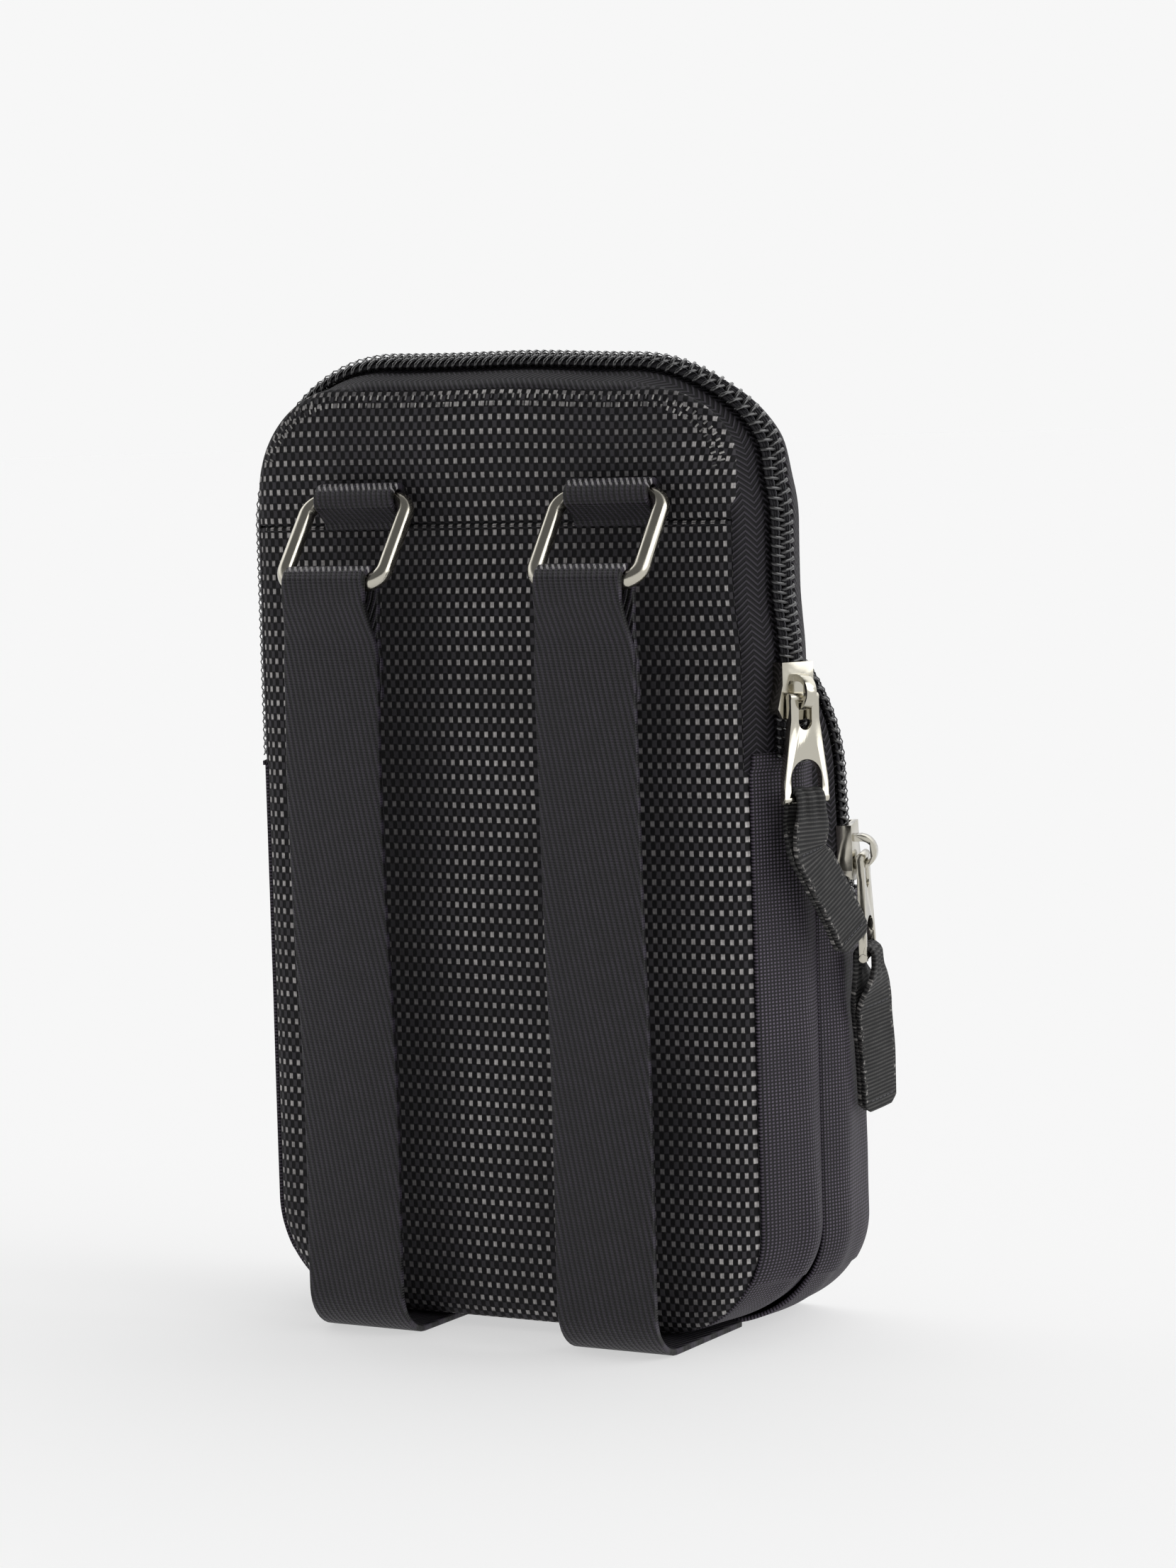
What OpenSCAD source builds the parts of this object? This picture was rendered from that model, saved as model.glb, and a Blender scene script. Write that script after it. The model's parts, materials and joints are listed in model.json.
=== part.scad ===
// Phone pouch: a tall zipped main compartment with a zipped pocket on its front, two
// webbing belt loops on its back hung from rectangular rings, and ribbon pulls on both zips.
// Frame: origin on the floor under the pouch, +Z up, X across the width. The back panel
// faces +Y, the front pocket faces -Y, and both sliders are on the -X side.

/* [Main compartment] */
// Height of the whole pouch
pouch_h = 184; // [165:1:230]
// Width of the back panel between its side seams
panel_w = 104; // [90:1:130]
// Depth from the back panel to the seam of the front pocket
main_d = 20; // [18:0.5:28]
// Radius of the upper corners
top_r = 26; // [20:1:34]
// Radius of the lower corners
base_r = 20; // [14:1:26]
// Height of the ends of the main zip
zip_end_z = 106; // [90:1:115]
// How far the main compartment stands off the floor, on its straps
base_lift = 1.9; // [1.9:0.1:3]
// Height of the seam between the two back panels
seam_z = 151.8; // [140:0.1:156]

/* [Front pocket] */
// Height of the front pocket
pocket_h = 139; // [125:1:150]
// Depth of the front pocket at its base
pocket_d = 25; // [22:0.5:32]
// Share of that depth left at the top of the pocket
pocket_taper = 0.5; // [0.45:0.01:1]
// Radius of the pocket's upper corners
pocket_top_r = 27; // [18:1:30]
// Height of the ends of the pocket zip
pocket_zip_end_z = 78; // [60:1:85]

/* [Cloth] */
// Thickness of the outer panels
panel_t = 1.7; // [1:0.1:2.5]
// Thickness of the side gussets
gusset_t = 1.2; // [0.8:0.1:2]
// Thickness of the foam behind the back panels
foam_t = 2.6; // [1.5:0.1:3]
// Thickness of the lining
lining_t = 0.4; // [0.3:0.1:0.8]
// Clearance between cloth layers that are sewn face to face
layer_gap = 0.3; // [0.2:0.05:0.4]

/* [Zips] */
// Thickness of the zip tape
tape_t = 0.6; // [0.5:0.1:0.8]
// Width of the closed chain
chain_w = 5.2; // [4.8:0.1:6.4]
// Height of the coil over the tape
coil_h = 1.8; // [1.4:0.1:2]
// Pitch of the coil's turns
coil_pitch = 1.65; // [1.4:0.05:2.5]
// Turn of the main chain towards the back
main_turn = 25; // [10:1:30]
// Turn of the pocket chain towards the front
pocket_turn = 15; // [5:1:20]

/* [Sliders] */
// Height of the centre of the main slider
slider_z = 120.5; // [116:0.5:130]
// Height of the centre of the pocket slider
pocket_slider_z = 89.5; // [87:0.5:95]
// Length of a slider body
slider_l = 10.5; // [9:0.1:12]
// Length of a metal tab
tab_l = 20; // [18:0.5:24]
// Width of the foot of a metal tab
tab_w = 10; // [9.5:0.1:12]
// Length of a ribbon pull
ribbon_l = 29; // [20:0.5:36]
// Width of a ribbon pull
ribbon_w = 8.5; // [7:0.1:10]
// Lean of the main ribbon towards the front
main_lean = 26; // [0:1:30]
// Lean of the pocket ribbon towards the front
pocket_lean = 9; // [0:1:20]

/* [Belt loops] */
// Half the distance between the two belt loops
loop_x = 27; // [24:0.5:32]
// How far both belt loops sit off the middle, towards the sliders
loop_shift = 1.6; // [0:0.1:3]
// Width of the webbing
strap_w = 20.5; // [19:0.5:24]
// Thickness of the webbing
strap_t = 1.4; // [1.2:0.1:1.6]
// Diameter of the ring wire
wire_d = 3.2; // [2.6:0.1:3.6]
// Width inside a ring
ring_in_w = 18.6; // [17:0.1:22.4]
// Distance between the axes of a ring's upper and lower bars
ring_h = 18.8; // [17:0.1:22]
// Angle of a ring away from the back panel
ring_tilt = 37; // [30:1:40]
// Height of the ring's upper bar over the seam between the back panels
ring_rise = 4.8; // [4:0.1:6]

/* [Hidden] */

black = [0.06, 0.06, 0.07];
cloth = [0.10, 0.10, 0.11];
nylon = [0.13, 0.12, 0.14];
nickel = [0.78, 0.77, 0.74];
far = 400;                     // reach of a cutting block, past every piece

// Depth stations: the seam between main compartment and pocket is seam_y.
seam_y = 2;
back_y = seam_y + main_d;
front_y = seam_y - pocket_d;

// Side bulge at each depth, as [depth, bulge]. The chain lies on the steepest stretch.
seam_bulge = 3.8;
chain_in_y = back_y - 8;       // back edge of the main chain
chain_run = chain_w - 0.2;     // depth that a chain covers
back_tape_bulge = 2.8;
main_rise = chain_run * tan(main_turn);
main_bulge = [
    [seam_y, seam_bulge],
    [chain_in_y - chain_run, back_tape_bulge + main_rise],
    [chain_in_y, back_tape_bulge],
    [back_y, 0]
];
pocket_chain_y = seam_y - 6.6; // back edge of the pocket chain
pocket_tape_bulge = 5.6;
pocket_rise = chain_run * tan(pocket_turn);
pocket_swell_run = 4.4;        // depth over which the pocket's side swells from its front seam
pocket_bulge = [
    [front_y, -0.8],
    [front_y + pocket_swell_run, 3],
    [pocket_chain_y - chain_run, pocket_tape_bulge - pocket_rise],
    [pocket_chain_y, pocket_tape_bulge],
    [seam_y, seam_bulge]
];

// Middle of each chain on the tape's face, as [depth, bulge], and the coil's highest reach.
main_chain = [chain_in_y - chain_run / 2, back_tape_bulge + main_rise / 2];
pocket_chain = [pocket_chain_y - chain_run / 2, pocket_tape_bulge - pocket_rise / 2];
main_reach = main_chain.y + chain_w / 2 * sin(main_turn) + coil_h * cos(main_turn);
pocket_reach = pocket_chain.y + chain_w / 2 * sin(pocket_turn) + coil_h * cos(pocket_turn);

// A body is [floor height, top height, upper radius, end height of its zip, taper at the top].
MAIN = [base_lift, pouch_h - main_reach, top_r, zip_end_z, 1];
POCKET = [0, pocket_h - pocket_reach, pocket_top_r, pocket_zip_end_z, pocket_taper];

function floor_z(b) = b[0];
function top_z(b) = b[1];
function upper_r(b) = b[2];
function end_z(b) = b[3];
function top_share(b) = b[4];

// Depth share at a height: full up to the zip's ends, then falling evenly to the top.
function share(b, z) =
    1 - (1 - top_share(b)) * max(0, z - end_z(b)) / (pocket_h - pocket_zip_end_z);
function deep(b, y, z) = seam_y + (y - seam_y) * share(b, z);

// Outline points of a body as [x, z, nx, nz], anticlockwise seen from the front.
corner_steps = 10;
half_w = panel_w / 2;
function arc_points(cx, cz, r, from, steps) = [
    for (i = [0 : steps]) let (a = from + 90 * i / steps)
        [cx + r * cos(a), cz + r * sin(a), cos(a), sin(a)]
];
function lower_right(b) =
    arc_points(half_w - base_r, floor_z(b) + base_r, base_r, -90, corner_steps);
function upper_right(b) =
    arc_points(half_w - upper_r(b), top_z(b) - upper_r(b), upper_r(b), 0, corner_steps);
function right_side(b) = concat(lower_right(b), [[half_w, end_z(b), 1, 0]], upper_right(b));
function mirrored(pts) = [
    for (i = [len(pts) - 1 : -1 : 0]) [-pts[i].x, pts[i].y, -pts[i][2], pts[i][3]]
];
function outline(b) = concat(right_side(b), mirrored(right_side(b)));
function over_top(b) = concat(
    [[half_w, end_z(b), 1, 0]], upper_right(b),
    mirrored(upper_right(b)), [[-half_w, end_z(b), -1, 0]]
);
function under_base(b) = let (z = end_z(b) - layer_gap) concat(
    [[-half_w, z, -1, 0]], mirrored(lower_right(b)), lower_right(b), [[half_w, z, 1, 0]]
);

// A point of a body's wall: out by bulge to the sides and top, in by inset all round.
function wall_point(b, p, y, bulge, inset) = let (up = p[3] > 0 ? bulge : 0)
    [p.x + p[2] * (bulge - inset), deep(b, y, p.y), p.y + p[3] * (up - inset)];

// Sweeps a cross-section of [depth, bulge, inset] points along an open path.
module sweep(b, path, section) {
    n = len(section);
    last = len(path) - 1;
    points = [for (p = path) for (s = section) wall_point(b, p, s.x, s.y, s.z)];
    sides = [
        for (i = [0 : last - 1]) for (j = [0 : n - 1]) let (k = (j + 1) % n)
            [i * n + j, (i + 1) * n + j, (i + 1) * n + k, i * n + k]
    ];
    caps = [[for (j = [0 : n - 1]) j], [for (j = [n - 1 : -1 : 0]) last * n + j]];
    polyhedron(points, concat(sides, caps), convexity = 6);
}

// Sweeps it round the whole outline.
module sweep_round(b, section) {
    path = outline(b);
    n = len(section);
    m = len(path);
    points = [for (p = path) for (s = section) wall_point(b, p, s.x, s.y, s.z)];
    sides = [
        for (i = [0 : m - 1]) for (j = [0 : n - 1]) let (k = (j + 1) % n, i2 = (i + 1) % m)
            [i * n + j, i2 * n + j, i2 * n + k, i * n + k]
    ];
    polyhedron(points, sides, convexity = 6);
}

// Lofts a solid through the whole outline at each [depth, bulge, inset] of a list that runs
// from front to back. Its two faces are strips between the right and the left side.
module loft(b, rings) {
    path = outline(b);
    n = len(path);
    last = len(rings) - 1;
    points = [for (r = rings) for (p = path) wall_point(b, p, r.x, r.y, r.z)];
    sides = [
        for (i = [0 : last - 1]) for (j = [0 : n - 1]) let (k = (j + 1) % n)
            [i * n + j, i * n + k, (i + 1) * n + k, (i + 1) * n + j]
    ];
    front = [for (j = [0 : n / 2 - 2]) [n - 1 - j, n - 2 - j, j + 1, j]];
    back = [for (f = front) [for (j = [3 : -1 : 0]) f[j] + last * n]];
    polyhedron(points, concat(sides, front, back), convexity = 6);
}

// A cloth strip's cross-section: outer face through the given depths, inner face t inside it.
function strip(table, depths, t) = concat(
    [for (y = depths) [y, lookup(y, table), 0]],
    [for (i = [len(depths) - 1 : -1 : 0]) [depths[i], lookup(depths[i], table), t]]
);

// ---- Back panels, foam and inner layers ----
panel_in_y = back_y - panel_t;
gusset_back_y = panel_in_y - layer_gap;
gusset_front_y = seam_y + panel_t + layer_gap;
edge_roll = 3;                 // width of the rounded edge of a panel
binding_t = 1.8;
binding_w = 1.7;
inner_gap = gusset_t + layer_gap;
foam_back_y = gusset_back_y;
foam_front_y = foam_back_y - foam_t;
lining_back_y = foam_front_y - layer_gap;
lining_front_y = gusset_front_y + layer_gap;

module back_panel_blank() {
    loft(MAIN, [
        [panel_in_y, 0, 0],
        [back_y - 0.9, 0, 0.3],
        [back_y - 0.25, 0, edge_roll * 0.45],
        [back_y, 0, edge_roll]
    ]);
}

module back_upper_panel() {
    color(black) intersection() {
        back_panel_blank();
        translate([-far / 2, 0, seam_z + layer_gap / 2]) cube(far);
    }
}

module back_lower_panel() {
    color(black) intersection() {
        back_panel_blank();
        translate([-far / 2, 0, seam_z - layer_gap / 2 - far]) cube(far);
    }
}

module back_padding() {
    inset = inner_gap + binding_t + layer_gap;
    color("dimgray") loft(MAIN, [[foam_front_y, 0, inset], [foam_back_y, 0, inset]]);
}

module main_binding() {
    y1 = gusset_back_y - 0.1;
    color(cloth) sweep_round(MAIN, [
        [y1 - binding_w, 0, inner_gap], [y1, 0, inner_gap],
        [y1, 0, inner_gap + binding_t], [y1 - binding_w, 0, inner_gap + binding_t]
    ]);
}

module pocket_binding() {
    y0 = pocket_back_face_y + 0.1;
    bulge = lookup(y0, pocket_bulge);
    color(cloth) sweep_round(POCKET, [
        [y0, bulge, inner_gap], [y0 + binding_w, bulge, inner_gap],
        [y0 + binding_w, bulge, inner_gap + binding_t], [y0, bulge, inner_gap + binding_t]
    ]);
}

// A lining bag: a thin shell whose side walls stop at the ends of the zip.
module lining(b, y0, y1, inset) {
    rim = 1;
    difference() {
        loft(b, [[y0, 0, inset], [y1, 0, inset]]);
        loft(b, [[y0 + lining_t, 0, inset + lining_t], [y1 - lining_t, 0, inset + lining_t]]);
        intersection() {
            loft(b, [[y0 + lining_t + rim, far / 8, 0], [y1 - lining_t - rim, far / 8, 0]]);
            translate([-far / 2, -far / 2, end_z(b)]) cube(far);
        }
    }
}

module main_lining() {
    color("slategray") lining(MAIN, lining_front_y, lining_back_y, inner_gap);
}

module main_front_panel() {
    color(black) loft(MAIN, [
        [seam_y + layer_gap, seam_bulge, 0.4],
        [seam_y + panel_t - 0.4, seam_bulge, 0],
        [seam_y + panel_t, seam_bulge, 0]
    ]);
}

module main_gusset() {
    depths = [gusset_front_y, chain_in_y - chain_run, chain_in_y, gusset_back_y];
    color(nylon) sweep(MAIN, under_base(MAIN), strip(main_bulge, depths, gusset_t));
}

// ---- Front pocket ----
pocket_back_face_y = front_y + panel_t + layer_gap;
pocket_seam_y = seam_y;
pocket_lining_front_y = pocket_back_face_y + binding_w + 2 * layer_gap;
pocket_lining_back_y = pocket_seam_y - layer_gap;

module pocket_gusset() {
    depths = [
        pocket_back_face_y, front_y + pocket_swell_run, pocket_chain_y - chain_run,
        pocket_chain_y, pocket_seam_y
    ];
    color(nylon) sweep(POCKET, under_base(POCKET), strip(pocket_bulge, depths, gusset_t));
}

module pocket_front_panel() {
    edge = lookup(front_y + panel_t, pocket_bulge);
    color(black) loft(POCKET, [
        [front_y, edge, edge_roll],
        [front_y + 0.25, edge, edge_roll * 0.45],
        [front_y + 0.9, edge, 0.3],
        [front_y + panel_t, edge, 0]
    ]);
}

module pocket_lining() {
    color("slategray")
        lining(POCKET, pocket_lining_front_y, pocket_lining_back_y, inner_gap);
}

// ---- Zips ----
tape_edge = 1.1;               // distance of a tape's edge from the middle of the chain
coil_seat = 0.15;              // gap between the coil and its tape
mesh_gap = 0.3;                // gap between the two meshed rows
mesh_depth = 0.8;              // depth to which the turns of one row enter the other
open_shift = 1.15;             // how far each row stands aside in front of the slider
aside_lift = 0.12;             // rise of a row for each mm it stands aside

// A point of a chain's cross-section: v across it to the front, w out from the tape's face.
function chain_point(c, turn, v, w) =
    [c.x - v * cos(turn) + w * sin(turn), c.y + v * sin(turn) + w * cos(turn)];
function flat_section(c, turn, corners) = [
    for (q = corners) let (p = chain_point(c, turn, q.x, q.y)) [p.x, p.y, 0]
];

module tape_back(b, table, c, turn, y_seam, y_bend) {
    edge = chain_point(c, turn, -tape_edge, 0);
    under = chain_point(c, turn, -tape_edge, -tape_t);
    color(nylon) sweep(b, over_top(b), [
        [edge.x, edge.y, 0], [y_bend, lookup(y_bend, table), 0],
        [y_seam, lookup(y_seam, table), 0], [y_seam, lookup(y_seam, table), tape_t],
        [y_bend, lookup(y_bend, table), tape_t], [under.x, under.y, 0]
    ]);
}

module tape_front(b, table, c, turn, y_seam, y_bend) {
    edge = chain_point(c, turn, tape_edge, 0);
    under = chain_point(c, turn, tape_edge, -tape_t);
    color(nylon) sweep(b, over_top(b), [
        [y_seam, lookup(y_seam, table), 0], [y_bend, lookup(y_bend, table), 0],
        [edge.x, edge.y, 0], [under.x, under.y, 0],
        [y_bend, lookup(y_bend, table), tape_t], [y_seam, lookup(y_seam, table), tape_t]
    ]);
}

module main_tape_back() {
    tape_back(MAIN, main_bulge, main_chain, main_turn, gusset_back_y, chain_in_y);
}
module main_tape_front() {
    tape_front(MAIN, main_bulge, main_chain, main_turn, gusset_front_y,
        chain_in_y - chain_run);
}
module pocket_tape_back() {
    tape_back(POCKET, pocket_bulge, pocket_chain, -pocket_turn, pocket_seam_y,
        pocket_chain_y);
}
module pocket_tape_front() {
    tape_front(POCKET, pocket_bulge, pocket_chain, -pocket_turn, pocket_back_face_y,
        pocket_chain_y - chain_run);
}

// Place on the path over the top at length s from its right end, as [x, z, nx, nz].
function side_run(b) = top_z(b) - upper_r(b) - end_z(b);
function corner_run(b) = 90 * upper_r(b) * PI / 180;
function top_run(b) = 2 * (half_w - upper_r(b));
function chain_run_length(b) = 2 * side_run(b) + 2 * corner_run(b) + top_run(b);
function corner_place(b, side, a) = [
    side * (half_w - upper_r(b)) + upper_r(b) * cos(a),
    top_z(b) - upper_r(b) + upper_r(b) * sin(a), cos(a), sin(a)
];
function chain_place(b, s) = let (
    s1 = side_run(b), s2 = s1 + corner_run(b), s3 = s2 + top_run(b), s4 = s3 + corner_run(b)
) s < s1 ? [half_w, end_z(b) + s, 1, 0]
    : s < s2 ? corner_place(b, 1, 90 * (s - s1) / corner_run(b))
    : s < s3 ? [half_w - upper_r(b) - (s - s2), top_z(b), 0, 1]
    : s < s4 ? corner_place(b, -1, 90 + 90 * (s - s3) / corner_run(b))
    : [-half_w, top_z(b) - upper_r(b) - (s - s4), -1, 0];

// How far a row stands aside at a place: fully in front of the slider, not at all behind it.
function aside(p, z_slider) =
    p.x > 0 || p.y > z_slider + 0.5 ? 0
    : open_shift * min(1, (z_slider + 0.5 - p.y) / 3.5);

// One row of coil. Every second ring is the crest of a turn, which enters the other row.
// side is -1 for the row on the back tape and 1 for the row on the front tape.
module coil_row(b, c, turn, side, z_slider) {
    turns = floor(chain_run_length(b) / coil_pitch);
    rings = 2 * turns;
    points = [
        for (i = [0 : rings]) let (
            p = chain_place(b, min(chain_run_length(b), i * coil_pitch / 2)),
            crest = (i % 2 == 0) == (side < 0),
            tip = side * (mesh_gap / 2 + (crest ? -mesh_depth / 2 : mesh_depth / 2)),
            h = crest ? coil_h : coil_h * 0.62,
            shift = side * aside(p, z_slider),
            lift = aside_lift * abs(shift)
        ) for (q = [
            [side * chain_w / 2, coil_seat], [side * chain_w / 2, h], [tip, h],
            [tip, coil_seat]
        ]) let (m = chain_point(c, turn, q.x + shift, q.y + lift)) wall_point(b, p, m.x, m.y, 0)
    ];
    sides = [
        for (i = [0 : rings - 1]) for (j = [0 : 3]) let (k = (j + 1) % 4)
            side > 0 ? [i * 4 + k, i * 4 + j, (i + 1) * 4 + j, (i + 1) * 4 + k]
            : [i * 4 + j, i * 4 + k, (i + 1) * 4 + k, (i + 1) * 4 + j]
    ];
    first = side > 0 ? [0, 1, 2, 3] : [3, 2, 1, 0];
    end = [for (j = [3 : -1 : 0]) first[j] + 4 * rings];
    color(black) polyhedron(points, concat(sides, [first], [end]), convexity = 8);
}

module main_coil_back() {
    coil_row(MAIN, main_chain, main_turn, -1, slider_z);
}
module main_coil_front() {
    coil_row(MAIN, main_chain, main_turn, 1, slider_z);
}
module pocket_coil_back() {
    coil_row(POCKET, pocket_chain, -pocket_turn, -1, pocket_slider_z);
}
module pocket_coil_front() {
    coil_row(POCKET, pocket_chain, -pocket_turn, 1, pocket_slider_z);
}

// ---- Sliders, tabs and ribbon pulls ----
// Their own frame has X across the chain to the front, Y up the chain and Z out of it,
// with the origin on the tape's face at the middle of the slider.
slide_gap = 0.3;               // running gap between slider and chain
plate_t = 1.1;                 // thickness of the slider's two plates
flange_t = 0.65;
lower_inset = 2.2;             // how far the lower plate stands in from the upper one
top_plate_z = coil_h + slide_gap;
bail_z = top_plate_z + plate_t;
bail_half = 1.1;               // half the width of the bail
bail_t = 1.3;
window_h = 2.8;                // free height under the bail
window_top = 1.8;              // upper and lower ends of the bail's window
window_foot = -2.1;
tab_t = 1.4;
pin_r = 0.8;                   // radius of the tab's two round bars
pin_y = window_foot + 1;
pin_z = bail_z + 1.15;
foot_pin_y = pin_y + pin_r - tab_l + pin_r;
eye_half = 1.5;                // half the width of the tab's upper eye
eye_l = 5.9;
head_half = 3.2;
neck_half = 3.2;               // half the width of the ribbon where it enters the tab
ribbon_t = 1.2;
ribbon_r = pin_r + slide_gap;  // inner radius of the ribbon's loop
arch_half = neck_half + 0.4;   // half the width of the tab's lower opening

narrow_half = chain_w / 2 + slide_gap + flange_t;
wide_half = narrow_half + open_shift;
wide_y = -slider_l / 2 + 2.2;

module slider_plan(grow) {
    top = slider_l / 2;
    polygon([
        [-narrow_half + grow, top], [-narrow_half + grow, 1.2], [-wide_half + grow, wide_y],
        [-wide_half + 1 + grow, -top + 0.4], [-wide_half + 2.6, -top],
        [wide_half - 2.6, -top], [wide_half - 1 - grow, -top + 0.4],
        [wide_half - grow, wide_y], [narrow_half - grow, 1.2], [narrow_half - grow, top]
    ]);
}

module slider() {
    color(nickel) {
        difference() {
            translate([0, 0, slide_gap])
                linear_extrude(bail_z - slide_gap) slider_plan(0);
            translate([0, 0, slide_gap - 1])
                linear_extrude(top_plate_z - slide_gap + 1) union() {
                    slider_plan(flange_t);
                    translate([-wide_half + flange_t, -slider_l])
                        square([2 * (wide_half - flange_t), slider_l + wide_y]);
                    translate([-narrow_half + flange_t, 0])
                        square([2 * (narrow_half - flange_t), slider_l]);
                }
            translate([-far / 2, -far / 2, bail_z]) cube(far);
        }
        translate([0, 0, -tape_t - slide_gap - plate_t])
            linear_extrude(plate_t) slider_plan(lower_inset);
        // The post that parts the two rows
        translate([0, 0, -tape_t - slide_gap - 0.1])
            linear_extrude(top_plate_z + tape_t + slide_gap + 0.2)
                polygon([[0, -1.5], [-0.6, -3.4], [-0.45, -slider_l / 2 + 0.3],
                    [0.45, -slider_l / 2 + 0.3], [0.6, -3.4]]);
        // The bail that carries the tab
        translate([bail_half, 0, 0]) rotate([90, 0, -90]) linear_extrude(2 * bail_half)
            bail_profile();
    }
}

// Seen from the side: X runs down the chain here, and Y out of it.
module bail_profile() {
    foot = -window_foot;
    difference() {
        union() {
            translate([-window_top - bail_t, bail_z - 0.2])
                square([window_top + foot + 2 * bail_t, window_h * 0.45 + 0.2]);
            intersection() {
                translate([(foot - window_top) / 2, bail_z + window_h * 0.25])
                    circle(r = (foot + window_top) / 2 + bail_t, $fn = 64);
                translate([-far / 2, bail_z]) square([far, window_h + bail_t]);
            }
        }
        translate([-window_top, bail_z])
            square([window_top + foot, window_h * 0.45]);
        intersection() {
            translate([(foot - window_top) / 2, bail_z + window_h * 0.45])
                circle(r = (foot + window_top) / 2, $fn = 64);
            translate([-far / 2, bail_z]) square([far, window_h]);
        }
    }
}

module tab() {
    foot_half = tab_w / 2;
    color(nickel) translate([0, 0, pin_z]) {
        translate([0, 0, -tab_t / 2]) linear_extrude(tab_t) difference() {
            union() {
                polygon([
                    [-head_half, pin_y], [-head_half, pin_y - 4], [-foot_half, foot_pin_y + 3],
                    [-foot_half, foot_pin_y], [foot_half, foot_pin_y],
                    [foot_half, foot_pin_y + 3], [head_half, pin_y - 4], [head_half, pin_y]
                ]);
                translate([-foot_half + pin_r, foot_pin_y - pin_r * 0.9])
                    square([2 * foot_half - 2 * pin_r, pin_r]);
            }
            translate([-eye_half, pin_y - eye_l + eye_half])
                square([2 * eye_half, eye_l]);
            translate([0, pin_y - eye_l + eye_half]) circle(r = eye_half, $fn = 32);
            translate([0, foot_pin_y + arch_half]) circle(r = arch_half, $fn = 48);
            translate([-arch_half, foot_pin_y - 3])
                square([2 * arch_half, arch_half + 3]);
        }
        for (y = [pin_y, foot_pin_y])
            translate([-head_half, y, 0]) rotate([0, 90, 0])
                cylinder(r = pin_r, h = 2 * head_half, $fn = 32);
        for (s = [-1, 1]) translate([s * (arch_half + foot_half - 0.4) / 2, foot_pin_y, 0])
            rotate([0, 90, 0])
                cylinder(r = pin_r, h = foot_half - 0.4 - arch_half + 1, center = true, $fn = 32);
    }
}

module ribbon(lean) {
    outer = ribbon_r + ribbon_t;
    ply = ribbon_t;
    half = ribbon_w / 2;
    color(cloth) translate([0, foot_pin_y, pin_z]) {
        difference() {
            union() {
                translate([-neck_half, 0, 0]) rotate([0, 90, 0])
                    cylinder(r = outer, h = 2 * neck_half, $fn = 48);
                translate([-neck_half, -outer - 0.6, -ply])
                    cube([2 * neck_half, outer, 2 * ply]);
                translate([0, -outer, 0]) rotate([0, 0, lean])
                    translate([0, 0, -ply]) linear_extrude(2 * ply)
                        polygon([
                            [-neck_half + 0.6, 1], [-half, -3.5], [-half, -ribbon_l + 1.5],
                            [-half + 1.5, -ribbon_l], [half - 1.5, -ribbon_l],
                            [half, -ribbon_l + 1.5], [half, -3.5], [neck_half - 0.6, 1]
                        ]);
            }
            translate([-far / 2, 0, 0]) rotate([0, 90, 0])
                cylinder(r = ribbon_r, h = far, $fn = 48);
        }
    }
}

// Lean of the pocket chain, which follows the pocket's taper.
pocket_fall = atan((seam_y - pocket_chain.x) * (1 - pocket_taper)
    / (pocket_h - pocket_zip_end_z));

module on_main_chain() {
    translate([-half_w - main_chain.y, main_chain.x, slider_z])
        rotate([90, 0, -90 - main_turn]) children();
}

module on_pocket_chain() {
    translate([
        -half_w - pocket_chain.y, deep(POCKET, pocket_chain.x, pocket_slider_z),
        pocket_slider_z
    ]) rotate([-pocket_fall, 0, 0]) rotate([90, 0, -90 + pocket_turn]) children();
}

module main_slider() { on_main_chain() slider(); }
module main_tab() { on_main_chain() tab(); }
module main_ribbon() { on_main_chain() ribbon(main_lean); }
module pocket_slider() { on_pocket_chain() slider(); }
module pocket_tab() { on_pocket_chain() tab(); }
module pocket_ribbon() { on_pocket_chain() ribbon(pocket_lean); }

// ---- Rings and belt loops ----
wire_r = wire_d / 2;
loop_gap = 0.3;                // gap between a ring bar and the webbing round it
web_in = wire_r + loop_gap;
web_out = web_in + strap_t;
ring_y = back_y + layer_gap + web_out;
ring_z = seam_z + ring_rise;
bar_y = ring_y + ring_h * sin(ring_tilt);
bar_z = ring_z - ring_h * cos(ring_tilt);
web_w = ring_in_w - 2.4;       // width of the webbing inside a ring, clear of its corners
ring_corner = 3.4;             // radius of the wire's bend at its middle
ring_half = (ring_in_w + wire_d) / 2;

function loop_middle(side) = side * loop_x - loop_shift;

module ring() {
    straight_x = 2 * (ring_half - ring_corner);
    straight_y = ring_h - 2 * ring_corner;
    color(nickel) {
        for (y = [0, -ring_h]) translate([-straight_x / 2, y, 0]) rotate([0, 90, 0])
            cylinder(r = wire_r, h = straight_x, $fn = 48);
        for (s = [-1, 1]) translate([s * ring_half, -ring_h + ring_corner, 0])
            rotate([-90, 0, 0]) cylinder(r = wire_r, h = straight_y, $fn = 48);
        for (s = [-1, 1]) for (t = [0, 1])
            translate([
                s * (ring_half - ring_corner), t == 0 ? -ring_corner : ring_corner - ring_h, 0
            ]) rotate([0, 0, s > 0 ? -90 * t : 90 + 90 * t])
                rotate_extrude(angle = 90, $fn = 64)
                    translate([ring_corner, 0]) circle(r = wire_r, $fn = 48);
    }
}

module ring_at(side) {
    translate([loop_middle(side), ring_y, ring_z]) rotate([90 + ring_tilt, 0, 0]) ring();
}

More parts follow.
